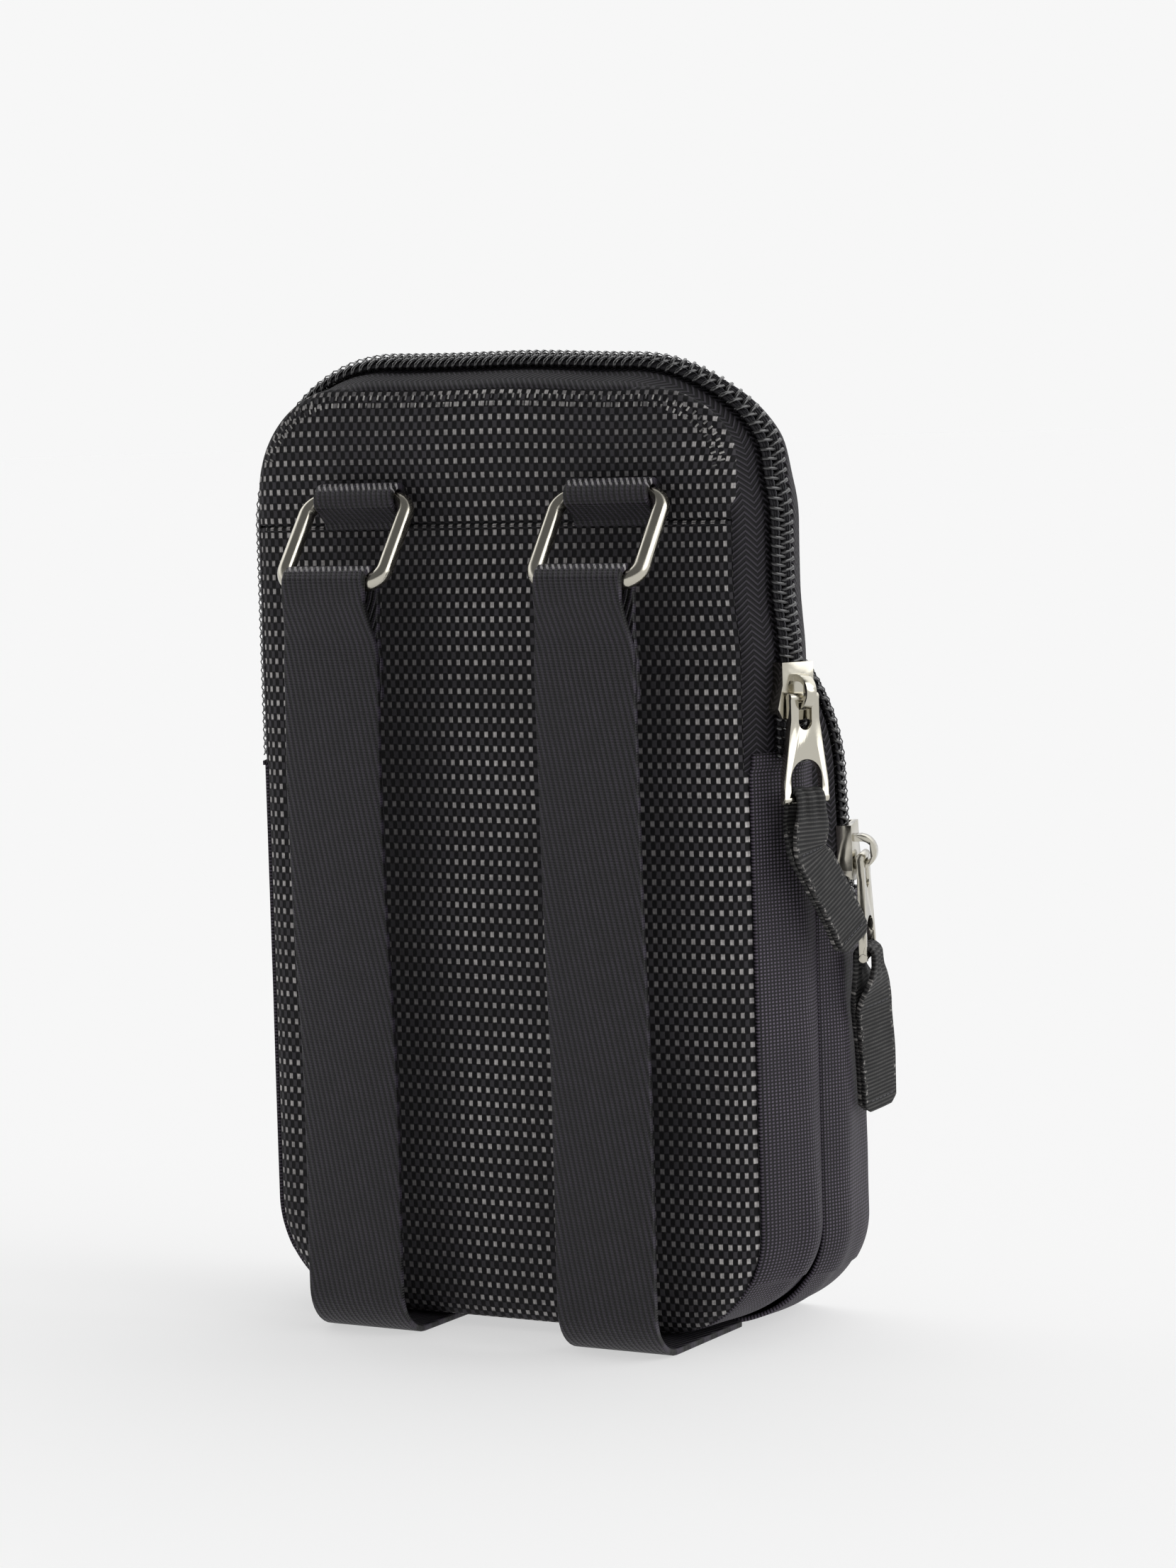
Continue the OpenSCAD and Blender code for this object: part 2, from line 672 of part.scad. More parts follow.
// The short webbing loop round the ring's upper bar, sewn into the seam between the panels.
module ring_tab_at(side) {
    foot_z = seam_z - ring_z;
    foot_y = back_y + layer_gap - ring_y;
    color(cloth) translate([loop_middle(side) - web_w / 2, ring_y, ring_z])
        rotate([90, 0, 90]) linear_extrude(web_w) difference() {
            union() {
                circle(r = web_out, $fn = 64);
                polygon([
                    [foot_y, 0], [foot_y, foot_z - 0.6], [foot_y + 2 * strap_t, foot_z - 0.6],
                    [foot_y + 2 * strap_t, foot_z], [web_out * cos(20), -web_out * sin(20)],
                    [0, 0]
                ]);
            }
            circle(r = web_in, $fn = 64);
            polygon([
                [foot_y + strap_t, 0], [foot_y + strap_t, foot_z + 1.2],
                [web_in * cos(20), -web_in * sin(20)]
            ]);
        }
}

// Side view of a belt loop's webbing, in the plane of Y and Z.
curl_r = 8.5;                  // outer radius of the turn under the base
curl_y = 28;                   // depth at which the strap leaves the floor
strap_foot_y = curl_y + curl_r;
slack = 3.4;                   // room for the ring's lower bar to drop inside its loop
merge_z = bar_z - slack - web_out - 4;
lap_z = merge_z - 11;          // lower end of the folded and sewn end
base_y = seam_y + 0.5;         // where the strap ends under the pouch

function turn(cy, cz, r, from, to, steps) = [
    for (i = [0 : steps]) let (a = from + (to - from) * i / steps)
        [cy + r * cos(a), cz + r * sin(a)]
];

module strap_side() {
    mid_y = bar_y + 0.2;
    difference() {
        polygon(concat(
            turn(curl_y, curl_r, curl_r, -90, 0, 10),
            [
                [mid_y + strap_t, lap_z], [mid_y + strap_t, merge_z],
                [bar_y + web_out, bar_z - slack]
            ],
            turn(bar_y, bar_z, web_out, 0, 180, 12),
            [
                [bar_y - web_out, bar_z - slack], [mid_y - strap_t, merge_z],
                [mid_y - strap_t, lap_z], [mid_y, lap_z]
            ],
            turn(curl_y, curl_r, curl_r - strap_t, 0, -90, 10)
        ));
        polygon(concat(
            [[mid_y, merge_z + 1], [bar_y + web_in, bar_z - slack]],
            turn(bar_y, bar_z, web_in, 0, 180, 12),
            [[bar_y - web_in, bar_z - slack]]
        ));
    }
}

// Front view: full width below, drawn in to pass through the ring.
module strap_face() {
    w = strap_w / 2;
    n = web_w / 2;
    top = bar_z + web_out + 1;
    polygon([
        [-w, -1], [w, -1], [w, bar_z - 26], [n, bar_z - web_out - 2], [n, top],
        [-n, top], [-n, bar_z - web_out - 2], [-w, bar_z - 26]
    ]);
}

module strap_at(side) {
    color(cloth) translate([loop_middle(side), 0, 0]) intersection() {
        translate([-strap_w / 2, 0, 0]) rotate([90, 0, 90]) linear_extrude(strap_w)
            strap_side();
        translate([0, back_y + 40, 0]) rotate([90, 0, 0]) linear_extrude(40) strap_face();
    }
}

module strap_base_at(side) {
    color(cloth) translate([loop_middle(side) - strap_w / 2, base_y, 0])
        cube([strap_w, curl_y - layer_gap - base_y, strap_t]);
}

module ring_tab_left() { ring_tab_at(-1); }
module ring_tab_right() { ring_tab_at(1); }
module ring_left() { ring_at(-1); }
module ring_right() { ring_at(1); }
module strap_left() { strap_at(-1); }
module strap_right() { strap_at(1); }
module strap_base_left() { strap_base_at(-1); }
module strap_base_right() { strap_base_at(1); }

back_upper_panel();
back_lower_panel();
back_padding();
main_binding();
main_lining();
main_front_panel();
main_gusset();
main_tape_back();
main_tape_front();
main_coil_back();
main_coil_front();
main_slider();
main_tab();
main_ribbon();
pocket_gusset();
pocket_front_panel();
pocket_binding();
pocket_lining();
pocket_tape_back();
pocket_tape_front();
pocket_coil_back();
pocket_coil_front();
pocket_slider();
pocket_tab();
pocket_ribbon();
ring_tab_left();
ring_tab_right();
ring_left();
ring_right();
strap_left();
strap_right();
strap_base_left();
strap_base_right();
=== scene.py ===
# %% [markdown]
# # A phone pouch, seen from the side of its belt loops
# The real one is a soft zipped pouch: woven cloth over foam at the back, thin nylon round the
# sides, two coil zips, webbing belt loops on bright wire rings, and ribbon pulls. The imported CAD
# model gives every piece its place and size. This lesson gives each piece its real surface.

# %% Load the frame
import json
import math
import bmesh
import bpy
from mathutils import Matrix, Vector, noise


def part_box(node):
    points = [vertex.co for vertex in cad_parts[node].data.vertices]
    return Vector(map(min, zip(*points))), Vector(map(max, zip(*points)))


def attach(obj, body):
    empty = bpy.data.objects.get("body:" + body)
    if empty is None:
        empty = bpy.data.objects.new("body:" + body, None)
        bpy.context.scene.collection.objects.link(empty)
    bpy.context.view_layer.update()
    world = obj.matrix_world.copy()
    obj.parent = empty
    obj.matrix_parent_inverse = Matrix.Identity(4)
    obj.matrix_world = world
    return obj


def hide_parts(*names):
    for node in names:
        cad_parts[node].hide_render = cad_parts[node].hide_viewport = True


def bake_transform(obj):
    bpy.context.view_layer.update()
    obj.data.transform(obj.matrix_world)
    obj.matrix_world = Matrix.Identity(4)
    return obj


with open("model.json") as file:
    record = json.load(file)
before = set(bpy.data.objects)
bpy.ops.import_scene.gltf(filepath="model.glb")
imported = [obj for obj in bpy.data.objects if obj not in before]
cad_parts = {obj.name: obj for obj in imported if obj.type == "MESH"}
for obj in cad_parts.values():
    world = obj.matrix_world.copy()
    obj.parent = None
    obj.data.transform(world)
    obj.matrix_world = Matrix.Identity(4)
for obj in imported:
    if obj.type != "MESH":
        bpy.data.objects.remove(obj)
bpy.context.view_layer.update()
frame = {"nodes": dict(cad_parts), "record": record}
MM = 0.001
print("CAD nodes:", len(frame["nodes"]))

# %% [markdown]
# Sizes come from the CAD nodes where a node's box shows them, and are repeated from the part's
# source where it doesn't. All of them are in millimetres. The main compartment and the pocket
# are each a rounded rectangle with its own corner radii, the height at which its zip ends, and
# the share of its depth that is left at its top.

# %% Sizes of the two compartments
def mm_box(node):
    return [[c / MM for c in corner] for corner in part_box(node)]


HALF_W, BACK_Y, LOWER_TOP = mm_box("back_lower_panel")[1]
FLOOR = mm_box("back_lower_panel")[0][2]
SEAM_Z = (LOWER_TOP + mm_box("back_upper_panel")[0][2]) / 2
FRONT_Y = mm_box("pocket_front_panel")[0][1]
SEAM_Y = 2.0
BASE_R = 20.0
MAIN = {"floor": FLOOR, "top": mm_box("back_upper_panel")[1][2], "r": 26.0, "end": 106.0,
        "taper": 1.0}
POCKET = {"floor": 0.0, "top": 131.66, "r": 27.0, "end": 78.0, "taper": 0.5}
TAPER_RUN = 61.0               # height over which the pocket grows thinner
print(f"panel {2 * HALF_W:.1f} wide, seam at {SEAM_Z:.1f}, depth {FRONT_Y:.1f} to {BACK_Y:.1f}")

# %% [markdown]
# Both compartments have one outline, walked from the zip's end on the +X side, up and over the
# top, down the other side, and on under the base. `rim` gives the place and the outward
# direction at any length of that walk, so a seam, a zip or a gusset can follow it.

# %% Walk round an outline
def runs(body):
    """Straight and curved stretches as (length, radius), where a straight one has radius 0."""
    r, side = body["r"], body["top"] - body["r"] - body["end"]
    low = body["end"] - body["floor"] - BASE_R
    quarter, low_quarter = math.pi / 2 * r, math.pi / 2 * BASE_R
    return [(side, 0), (quarter, r), (2 * (HALF_W - r), 0), (quarter, r), (side, 0),
            (low, 0), (low_quarter, BASE_R), (2 * (HALF_W - BASE_R), 0), (low_quarter, BASE_R),
            (low, 0)]


def over(body):
    return sum(length for length, _ in runs(body)[:5])


def around(body):
    return sum(length for length, _ in runs(body))


def rim(body, s):
    """x, z and the outward direction at length s along the outline."""
    x, z, a = HALF_W, body["end"], 0.0
    if s < 0:
        return x, z + s, 1.0, 0.0
    for length, r in runs(body):
        step = min(s, length)
        if r:
            x, z = x - r * math.cos(a), z - r * math.sin(a)
            a += step / r
            x, z = x + r * math.cos(a), z + r * math.sin(a)
        else:
            x, z = x - step * math.sin(a), z + step * math.cos(a)
        s -= step
        if s <= 0:
            break
    return x, z, math.cos(a), math.sin(a)


def share(body, z):
    return 1 - (1 - body["taper"]) * max(0.0, z - body["end"]) / TAPER_RUN


def ramp(x, start, end):
    t = min(1.0, max(0.0, (x - start) / (end - start)))
    return t * t * (3 - 2 * t)


def settle(p):
    """The soft top leans a little: it stands squarer on one side and sags on the other."""
    x, y, z = p
    high = ramp(z, 148, 178)
    sag = 1.1 * ramp(-x, 0, 30) - 0.5 * ramp(x, 10, 40)
    pinch = 1.2 * ramp(-x, 35, 52) * ramp(z, 127, 140) * (1 - ramp(z, 158, 170))
    square = 1.0 * ramp(-x, 30, 48) * ramp(z, 158, 168) * (1 - ramp(z, 172, 182))
    return Vector((x + (pinch - square) * ramp(y, -2, 6), y, z - sag * high * ramp(y, -2, 6)))


def wall(body, s, y, out, inset=0.0):
    """A point of the side wall: out from the outline on the sides and top, inset all round."""
    x, z, nx, nz = rim(body, s)
    up = out if nz > 0 else 0.0
    deep = SEAM_Y + (y - SEAM_Y) * share(body, z)
    return settle((x + nx * (out - inset), deep, z + nz * (up - inset)))


print(f"zip runs: main {over(MAIN):.0f}, pocket {over(POCKET):.0f}")

# %% [markdown]
# ## Camera, floor and light
# The photograph is a studio shot on white. The camera stands behind the pouch, a little above
# it and turned towards the zips. A pale floor and a pale sky give soft light from everywhere,
# and one broad lamp lights the side of the zips.

# %% Camera
AZIMUTH, ELEVATION, ROLL = (math.radians(a) for a in (29.63, 4.82, -1.61))
back = Vector((-math.sin(AZIMUTH) * math.cos(ELEVATION),
               math.cos(AZIMUTH) * math.cos(ELEVATION), math.sin(ELEVATION)))
level = (-back).cross(Vector((0, 0, 1))).normalized()
upright = level.cross(-back)
right = math.cos(ROLL) * level + math.sin(ROLL) * upright
up = -math.sin(ROLL) * level + math.cos(ROLL) * upright
camera = bpy.data.objects.new("camera", bpy.data.cameras.new("camera"))
bpy.context.scene.collection.objects.link(camera)
spot = Vector((-0.39743, 0.68594, 0.16814))
LENS, SENSOR = 95.76, 36       # millimetres: together they give the photograph's angle
camera.matrix_world = Matrix.Translation(spot) @ Matrix((right, up, back)).transposed().to_4x4()
camera.data.sensor_fit = "VERTICAL"
camera.data.sensor_height = SENSOR
camera.data.lens = LENS
camera.data.clip_start = 0.01
bpy.context.scene.camera = camera
bpy.context.scene.view_settings.view_transform = "Standard"
print("camera", [round(c, 3) for c in spot])

# %% [markdown]
# Every finish and the sky are node trees. One small function adds any node: it sets or links the
# node's sockets in their order, or by name where a dict gives them, and returns one output.

# %% One helper for nodes
TIMES = {"operation": "MULTIPLY"}
SMOOTH = {"interpolation_type": "SMOOTHSTEP"}
COLOURS = {"data_type": "RGBA"}


def add(tree, kind, *values, out=0, **settings):
    """Adds a node, gives it its settings and inputs, and returns one of its outputs."""
    node = tree.nodes.new("ShaderNode" + kind)
    for key, value in settings.items():
        setattr(node, key, value)
    if values and isinstance(values[0], dict):
        pairs = [(node.inputs[key], value) for key, value in values[0].items()]
    else:
        pairs = list(zip([socket for socket in node.inputs if socket.enabled], values))
    for socket, value in pairs:
        if isinstance(value, bpy.types.NodeSocket):
            tree.links.new(value, socket)
        else:
            socket.default_value = value
    outputs = [socket for socket in node.outputs if socket.enabled]
    return outputs[out] if outputs else node


def linear(code):
    """An sRGB hex colour as linear RGBA."""
    parts = [int(code[i:i + 2], 16) / 255 for i in (1, 3, 5)]
    return [c / 12.92 if c < 0.04045 else ((c + 0.055) / 1.055) ** 2.4 for c in parts] + [1.0]


print("the grey #808080 is", round(linear("#808080")[0], 3), "in linear light")

# %% [markdown]
# The sky is as bright as the table at the horizon, so that no line shows between them, and
# brighter overhead. Above and behind the camera it is dark, as a studio is beyond its lamps: the
# polished rings mirror that part, and it gives them their dark middles and bright rims.

# %% Sky
HORIZON, OVERHEAD = 0.93, 1.75
world = bpy.data.worlds.new("studio")
bpy.context.scene.world = world
world.use_nodes = True
sky = world.node_tree
sky.nodes.clear()
looking = add(sky, "TexCoord")
height = add(sky, "SeparateXYZ", looking, out=2)
raised = add(sky, "MapRange", height, 0.1, 0.3, 0.0, 0.9, **SMOOTH)
above_camera = Vector((-0.05, 0.62, 0.78)).normalized()
near_it = add(sky, "VectorMath", looking, above_camera, operation="DOT_PRODUCT")
patch = add(sky, "MapRange", near_it, 0.35, 0.75, **SMOOTH)
dark = add(sky, "Math", patch, raised, **TIMES)
lit = add(sky, "Math", 1.0, dark, operation="SUBTRACT")
ceiling = add(sky, "MapRange", height, 0.15, 0.6, HORIZON, OVERHEAD, **SMOOTH)
glow = add(sky, "Math", ceiling, lit, **TIMES)
add(sky, "OutputWorld", add(sky, "Background", linear("#ffffff"), glow))
print("sky from", HORIZON, "at the horizon to", OVERHEAD)

# %% [markdown]
# The floor is an opal acrylic light table. It glows by itself, so the pouch throws only a weak
# shadow on it, as on a product photograph.

# %% Light table
TABLE_HALF = 60                # metres, so that its far edge is the horizon
TABLE_GLOW = 0.553             # with the light that falls on it, it matches the horizon
bm = bmesh.new()
bmesh.ops.create_grid(bm, x_segments=2, y_segments=2, size=TABLE_HALF)
mesh = bpy.data.meshes.new("studio_floor")
bm.to_mesh(mesh)
bm.free()
floor = bpy.data.objects.new("studio_floor", mesh)
bpy.context.scene.collection.objects.link(floor)
acrylic = bpy.data.materials.new("opal_acrylic_light_table")
acrylic.use_nodes = True
opal = acrylic.node_tree.nodes["Principled BSDF"]
for socket, value in (("Base Color", linear("#aaaaaa")), ("Roughness", 1.0),
                      ("Specular IOR Level", 0.0), ("Emission Color", linear("#ffffff")),
                      ("Emission Strength", TABLE_GLOW)):
    opal.inputs[socket].default_value = value
mesh.materials.append(acrylic)
print("light table", 2 * TABLE_HALF, "m wide")

# %% [markdown]
# One broad lamp stands low on the side of the zips. It lights the gussets and the sliders. It is
# a sun with a wide angle, because that gives the soft edges of a big lamp without its noise.

# %% Key light
KEY_FROM = Vector((-0.90, -0.05, 0.42))
KEY_POWER, KEY_SPREAD = 0.9, math.radians(50)
key = bpy.data.objects.new("key_light", bpy.data.lights.new("key_light", "SUN"))
bpy.context.scene.collection.objects.link(key)
key.data.energy = KEY_POWER
key.data.angle = KEY_SPREAD
key.rotation_euler = KEY_FROM.to_track_quat("Z", "Y").to_euler()
print("key light from", [round(c, 2) for c in KEY_FROM])

# %% [markdown]
# ## Finishes
# Cloth follows its own threads, so every woven piece carries a UV map named Weave, whose
# coordinates are millimetres along the cloth. `stripes` turns them into a smooth wave with a
# real pitch, and each weave is made of such waves. They stay sharp at any distance, as a picture
# of cloth wouldn't. Finishes without threads use textures on Object coordinates. Those are
# metres, so a scale of 2500 makes grains 0.4 mm wide.


def finish(name, colour, roughness, metallic=0.0, specular=0.5):
    """A material with one Principled shader."""
    mat = bpy.data.materials.new(name)
    mat.use_nodes = True
    tree = mat.node_tree
    tree.nodes.clear()
    surface = add(tree, "BsdfPrincipled", {"Base Color": linear(colour), "Roughness": roughness,
                                           "Metallic": metallic, "Specular IOR Level": specular})
    add(tree, "OutputMaterial", surface)
    return mat, tree, surface.node


def stripes(tree, threads, across, along, pitch):
    """A wave from -1 to 1 with crests pitch mm apart in the direction (across, along)."""
    turn = 2 * math.pi / pitch
    run = add(tree, "VectorMath", threads, (across * turn, along * turn, 0),
              operation="DOT_PRODUCT")
    return add(tree, "Math", run, operation="SINE")


def dress(tree, shader, colour, height=None, depth_mm=0.0):
    """Gives the shader its colour, and its relief a real depth."""
    tree.links.new(colour, shader.inputs["Base Color"])
    if height is not None:
        bump = add(tree, "Bump", {"Height": height, "Distance": depth_mm * MM, "Strength": 1.0})
        tree.links.new(bump, shader.inputs["Normal"])


def mottled(name, slot, colour, roughness, dark, light, *texture, kind="TexNoise",
            specular=0.5, depth_mm=0.0):
    """A finish without threads: a fine texture mixes two colours, and may give relief."""
    mat, tree, shader = finish(name, colour, roughness, specular=specular)
    spots = add(tree, kind, add(tree, "TexCoord", out=3), *texture)
    mixed = add(tree, "Mix", spots, linear(dark), linear(light), **COLOURS)
    dress(tree, shader, mixed, spots if depth_mm else None, depth_mm)
    return mat


print("helpers: finish, stripes, dress, mottled")

# %% [markdown]
# The back is dobby-woven polyester, 600 denier: floats of light-grey yarn stand as dots in a
# black checker ground. The dots are 0.9 by 1.1 mm, 1.9 mm apart across and 2.67 mm apart up.
# The yarn is matt and its dots are uneven, so noise makes some dots duller than others. Under and
# beside each belt loop the dots are darkened: painted shade of the loop.

# %% Dobby-woven polyester
DOBBY_X, DOBBY_Z = 1.9, 2.67
LOOP_SHADE_X = (-28.5, 22.5)       # middles of the bands of painted shade under the belt loops
LOOP_SHADE_FROM, LOOP_SHADE_TO = 8.0, 18.0
dobby, tree, shader = finish("dobby_woven_polyester", "#1a181b", 0.75,
                             specular=0.25)
threads = add(tree, "UVMap", uv_map="Weave")
columns = stripes(tree, threads, 1, 0, DOBBY_X)
rows = stripes(tree, threads, 0, 1, DOBBY_Z)
crossed = add(tree, "Math", columns, rows, **TIMES)
checker = add(tree, "MapRange", crossed, -0.25, 0.3, **SMOOTH)
dots = add(tree, "Math", add(tree, "MapRange", columns, -0.05, 0.35, **SMOOTH),
           add(tree, "MapRange", rows, 0.05, 0.5, **SMOOTH), **TIMES)
fine = add(tree, "MapRange", stripes(tree, threads, 1, 0, DOBBY_X / 4), -1, 1, 0.72, 1.0,
           **SMOOTH)
patchy = add(tree, "TexNoise", threads, 0.9, 1.0)
wide = add(tree, "TexNoise", threads, 0.035, 1.0)
fading = add(tree, "MapRange", wide, 0.3, 0.7, 0.6, 1.0, **SMOOTH)
dot_tone_and_loop_shade = add(tree, "Math", add(tree, "MapRange", patchy, 0.25, 0.7, 0.5, 1.0, **SMOOTH), fading,
           **TIMES)
beside = add(tree, "SeparateXYZ", threads)
# Painted shade: the dots darken under each belt loop and fade out a few millimetres beside it.
for middle in LOOP_SHADE_X:
    away = add(tree, "Math", beside, middle, operation="SUBTRACT")
    away = add(tree, "Math", away, operation="ABSOLUTE")
    loop_shade = add(tree, "MapRange", away, LOOP_SHADE_FROM, LOOP_SHADE_TO, 0.35, 1.0, **SMOOTH)
    dot_tone_and_loop_shade = add(tree, "Math", dot_tone_and_loop_shade, loop_shade, **TIMES)
faded = add(tree, "Math", checker, fading, **TIMES)
ground = add(tree, "Mix", faded, linear("#060508"), linear("#3e3c40"), **COLOURS)
lit = add(tree, "Math", add(tree, "Math", dots, fine, **TIMES), dot_tone_and_loop_shade, **TIMES)
colour = add(tree, "Mix", lit, ground, linear("#ccc8c6"), **COLOURS)
standing = add(tree, "Math", dots, add(tree, "Math", checker, 0.45, **TIMES), operation="ADD")
dress(tree, shader, colour, standing, 0.45)
print("dobby repeat", DOBBY_X, "by", DOBBY_Z, "mm")

# %% [markdown]
# The gussets are plain-woven nylon. A thread passes over and under its neighbours, which makes a
# checker of small bright bumps with a purple tint. The bumps are 0.65 by 0.73 mm, coarser than
# the real weave, so that they show.

# %% Plain-woven nylon
NYLON_X, NYLON_Y = 1.3, 1.45   # two threads each way
side_nylon, tree, shader = finish("plain_woven_nylon", "#1f1b22", 0.62,
                                  specular=0.35)
threads = add(tree, "UVMap", uv_map="Weave")
over_under = add(tree, "Math", stripes(tree, threads, 1, 0, NYLON_X),
                 stripes(tree, threads, 0, 1, NYLON_Y), **TIMES)
bumps = add(tree, "MapRange", add(tree, "Math", over_under, operation="ABSOLUTE"),
            0.2, 0.85, **SMOOTH)
tone = add(tree, "TexNoise", threads, 0.08, 2.0)
colour = add(tree, "Mix", bumps, linear("#030204"), linear("#5c5462"), **COLOURS)
dulled = add(tree, "MapRange", tone, 0.3, 0.7, 0.0, 0.25, **SMOOTH)
colour = add(tree, "Mix", dulled, colour, linear("#15131a"), **COLOURS)
dress(tree, shader, colour, bumps, 0.25)
print("nylon threads", NYLON_X / 2, "mm apart")

# %% [markdown]
# Zip tape is polyester woven in a herringbone: fine diagonal ribs that turn round every few
# millimetres. Folding the second coordinate back and forth turns straight ribs into that zigzag.
# The ribs are 0.9 mm apart, coarser than real ones, so that they show.

# %% Herringbone tape
RIB, TURN_EVERY = 0.9, 2.6
zip_tape, tree, shader = finish("herringbone_zip_tape", "#1b191d", 0.7,
                                specular=0.25)
threads = add(tree, "UVMap", uv_map="Weave")
folded = add(tree, "Math", add(tree, "SeparateXYZ", threads, out=1), TURN_EVERY,
             operation="PINGPONG")
turned = add(tree, "CombineXYZ", add(tree, "SeparateXYZ", threads), folded)
ribs = add(tree, "MapRange", stripes(tree, turned, 0.8, 0.6, RIB), -0.6, 0.9, **SMOOTH)
colour = add(tree, "Mix", ribs, linear("#060508"), linear("#353238"), **COLOURS)
dress(tree, shader, colour, ribs, 0.3)
print("herringbone ribs", RIB, "mm apart")

# %% [markdown]
# The coil is one bent nylon monofilament, smooth and glossy, with a little dust on it. Its
# stitching and the visible seams are bonded nylon thread, whose twist shows as light and dark
# every 0.4 mm. Dust is drawn as uneven roughness, which costs nothing and catches the light.

# %% Monofilament and thread
zip_coil, tree, shader = finish("nylon_monofilament", "#141315", 0.22,
                                specular=0.9)
dust = add(tree, "TexNoise", add(tree, "TexCoord", out=3), 900.0, 1.0)
tree.links.new(add(tree, "MapRange", dust, 0.3, 0.7, 0.16, 0.34, **SMOOTH),
               shader.inputs["Roughness"])

thread = mottled("bonded_nylon_thread", "webbing", "#26262a", 0.5, "#17171a", "#46464b",
                 2500.0)
print("coil and thread:", zip_coil.name, thread.name)

# %% [markdown]
# Sliders, tabs and rings are zinc alloy and steel wire with a bright nickel plate, polished
# before plating. Nickel is a warm grey metal. Scratches and fingermarks about 4 mm wide vary its
# gloss, and a ripple 1.4 mm long and 0.012 mm deep bends what it mirrors, as polishing does.

# %% Nickel plate
nickel, tree, shader = finish("polished_nickel_plate", "#bdb9ad", 0.16, metallic=1.0)
place = add(tree, "TexCoord", out=3)
marks = add(tree, "TexNoise", place, 260.0, 4.0)
tree.links.new(add(tree, "MapRange", marks, 0.3, 0.75, 0.1, 0.26, **SMOOTH),
               shader.inputs["Roughness"])
ripple = add(tree, "TexNoise", place, 700.0, 2.0)
bump = add(tree, "Bump", {"Height": ripple, "Distance": 0.012 * MM, "Strength": 1.0})
tree.links.new(bump, shader.inputs["Normal"])
print("plate on sliders, tabs and rings:", nickel.name)

# %% [markdown]
# The pulls are grosgrain ribbon, with ribs 0.75 mm apart across their length. Light specks near the
# selvage are painted highlights. Specks are noise, let through only near the two edges.

# %% Grosgrain ribbon
RIB_STEP, YARN_STEP = 0.75, 0.5
grosgrain, tree, shader = finish("grosgrain_ribbon", "#24282a", 0.6, specular=0.3)
threads = add(tree, "UVMap", uv_map="Weave")
ribs = add(tree, "MapRange", stripes(tree, threads, 0, 1, RIB_STEP), -0.9, 0.9, **SMOOTH)
cross = add(tree, "MapRange", stripes(tree, threads, 1, 0, YARN_STEP), -1, 1, 0.7, 1.0,
            **SMOOTH)
tone = add(tree, "TexNoise", threads, 0.5, 3.0)
lit = add(tree, "Math", add(tree, "Math", ribs, cross, **TIMES),
          add(tree, "MapRange", tone, 0.3, 0.7, 0.6, 1.0, **SMOOTH), **TIMES)
colour = add(tree, "Mix", lit, linear("#161617"), linear("#4d4c4b"), **COLOURS)
# Painted highlights: light specks near both edges of the ribbon.
from_middle = add(tree, "Math", add(tree, "SeparateXYZ", threads), operation="ABSOLUTE")
patchy = add(tree, "TexNoise", threads, 1.7, 1.0)
painted_edge_glints = add(tree, "Math", add(tree, "MapRange", from_middle, 3.3, 3.8, **SMOOTH),
             add(tree, "MapRange", patchy, 0.55, 0.68, **SMOOTH), **TIMES)
colour = add(tree, "Mix", painted_edge_glints, colour, linear("#8d8a87"), **COLOURS)
dress(tree, shader, colour, ribs, 0.2)
print("grosgrain ribs", RIB_STEP, "mm apart")

# %% [markdown]
# The belt loops are polyester webbing in a twill weave, whose ridges are 1.1 mm apart and lean
# 12 degrees, with finer cross threads. Lengths are counted from the fold over a ring's bar.
# There a painted highlight lightens the slanting ridges, for the light that the opened ridges
# catch.

# %% Twill webbing
TWILL, PICK = 1.1, 0.5         # ridges, and the threads across them
webbing, tree, shader = finish("twill_webbing", "#1d1c20", 0.48, specular=0.45)
threads = add(tree, "UVMap", uv_map="Weave")
ridges = add(tree, "MapRange", stripes(tree, threads, 0.978, 0.208, TWILL), -0.6, 0.8, **SMOOTH)
picks = add(tree, "MapRange", stripes(tree, threads, 0, 1, PICK), -1, 1, 0.4, 1.0, **SMOOTH)
tone = add(tree, "TexNoise", threads, 0.25, 2.0)
lit = add(tree, "Math", add(tree, "Math", ridges, picks, **TIMES),
          add(tree, "MapRange", tone, 0.3, 0.7, 0.65, 1.0, **SMOOTH), **TIMES)
colour = add(tree, "Mix", lit, linear("#050406"), linear("#3b3542"), **COLOURS)
# Painted highlight: slanting ridges within about a millimetre of the fold turn light grey.
past_fold = add(tree, "Math", add(tree, "SeparateXYZ", threads, out=1), 1.0,
                operation="SUBTRACT")
off_fold = add(tree, "MapRange", add(tree, "Math", past_fold, operation="ABSOLUTE"),
               0.6, 1.2, **SMOOTH)
at_fold = add(tree, "Math", 1.0, off_fold, operation="SUBTRACT")
slant = add(tree, "MapRange", stripes(tree, threads, 0.9, 0.7, TWILL), 0.0, 0.5, **SMOOTH)
painted_fold_glint = add(tree, "Math", at_fold, slant, **TIMES)
colour = add(tree, "Mix", painted_fold_glint, colour, linear("#a9a6a8"), **COLOURS)
standing = add(tree, "Math", ridges, add(tree, "Math", picks, 0.5, **TIMES), operation="ADD")
dress(tree, shader, colour, standing, 0.4)
print("twill ridges", TWILL, "mm apart")

# %% [markdown]
# What is inside shows only when a zip is open: a thin polyester lining in plain weave, foam
# sheet with fine open cells, and binding tape folded over the raw seams. Their weaves are too
# fine to show, so noise stands for them. The foam's cells are 0.8 mm wide, coarser than real
# ones, so that they show.

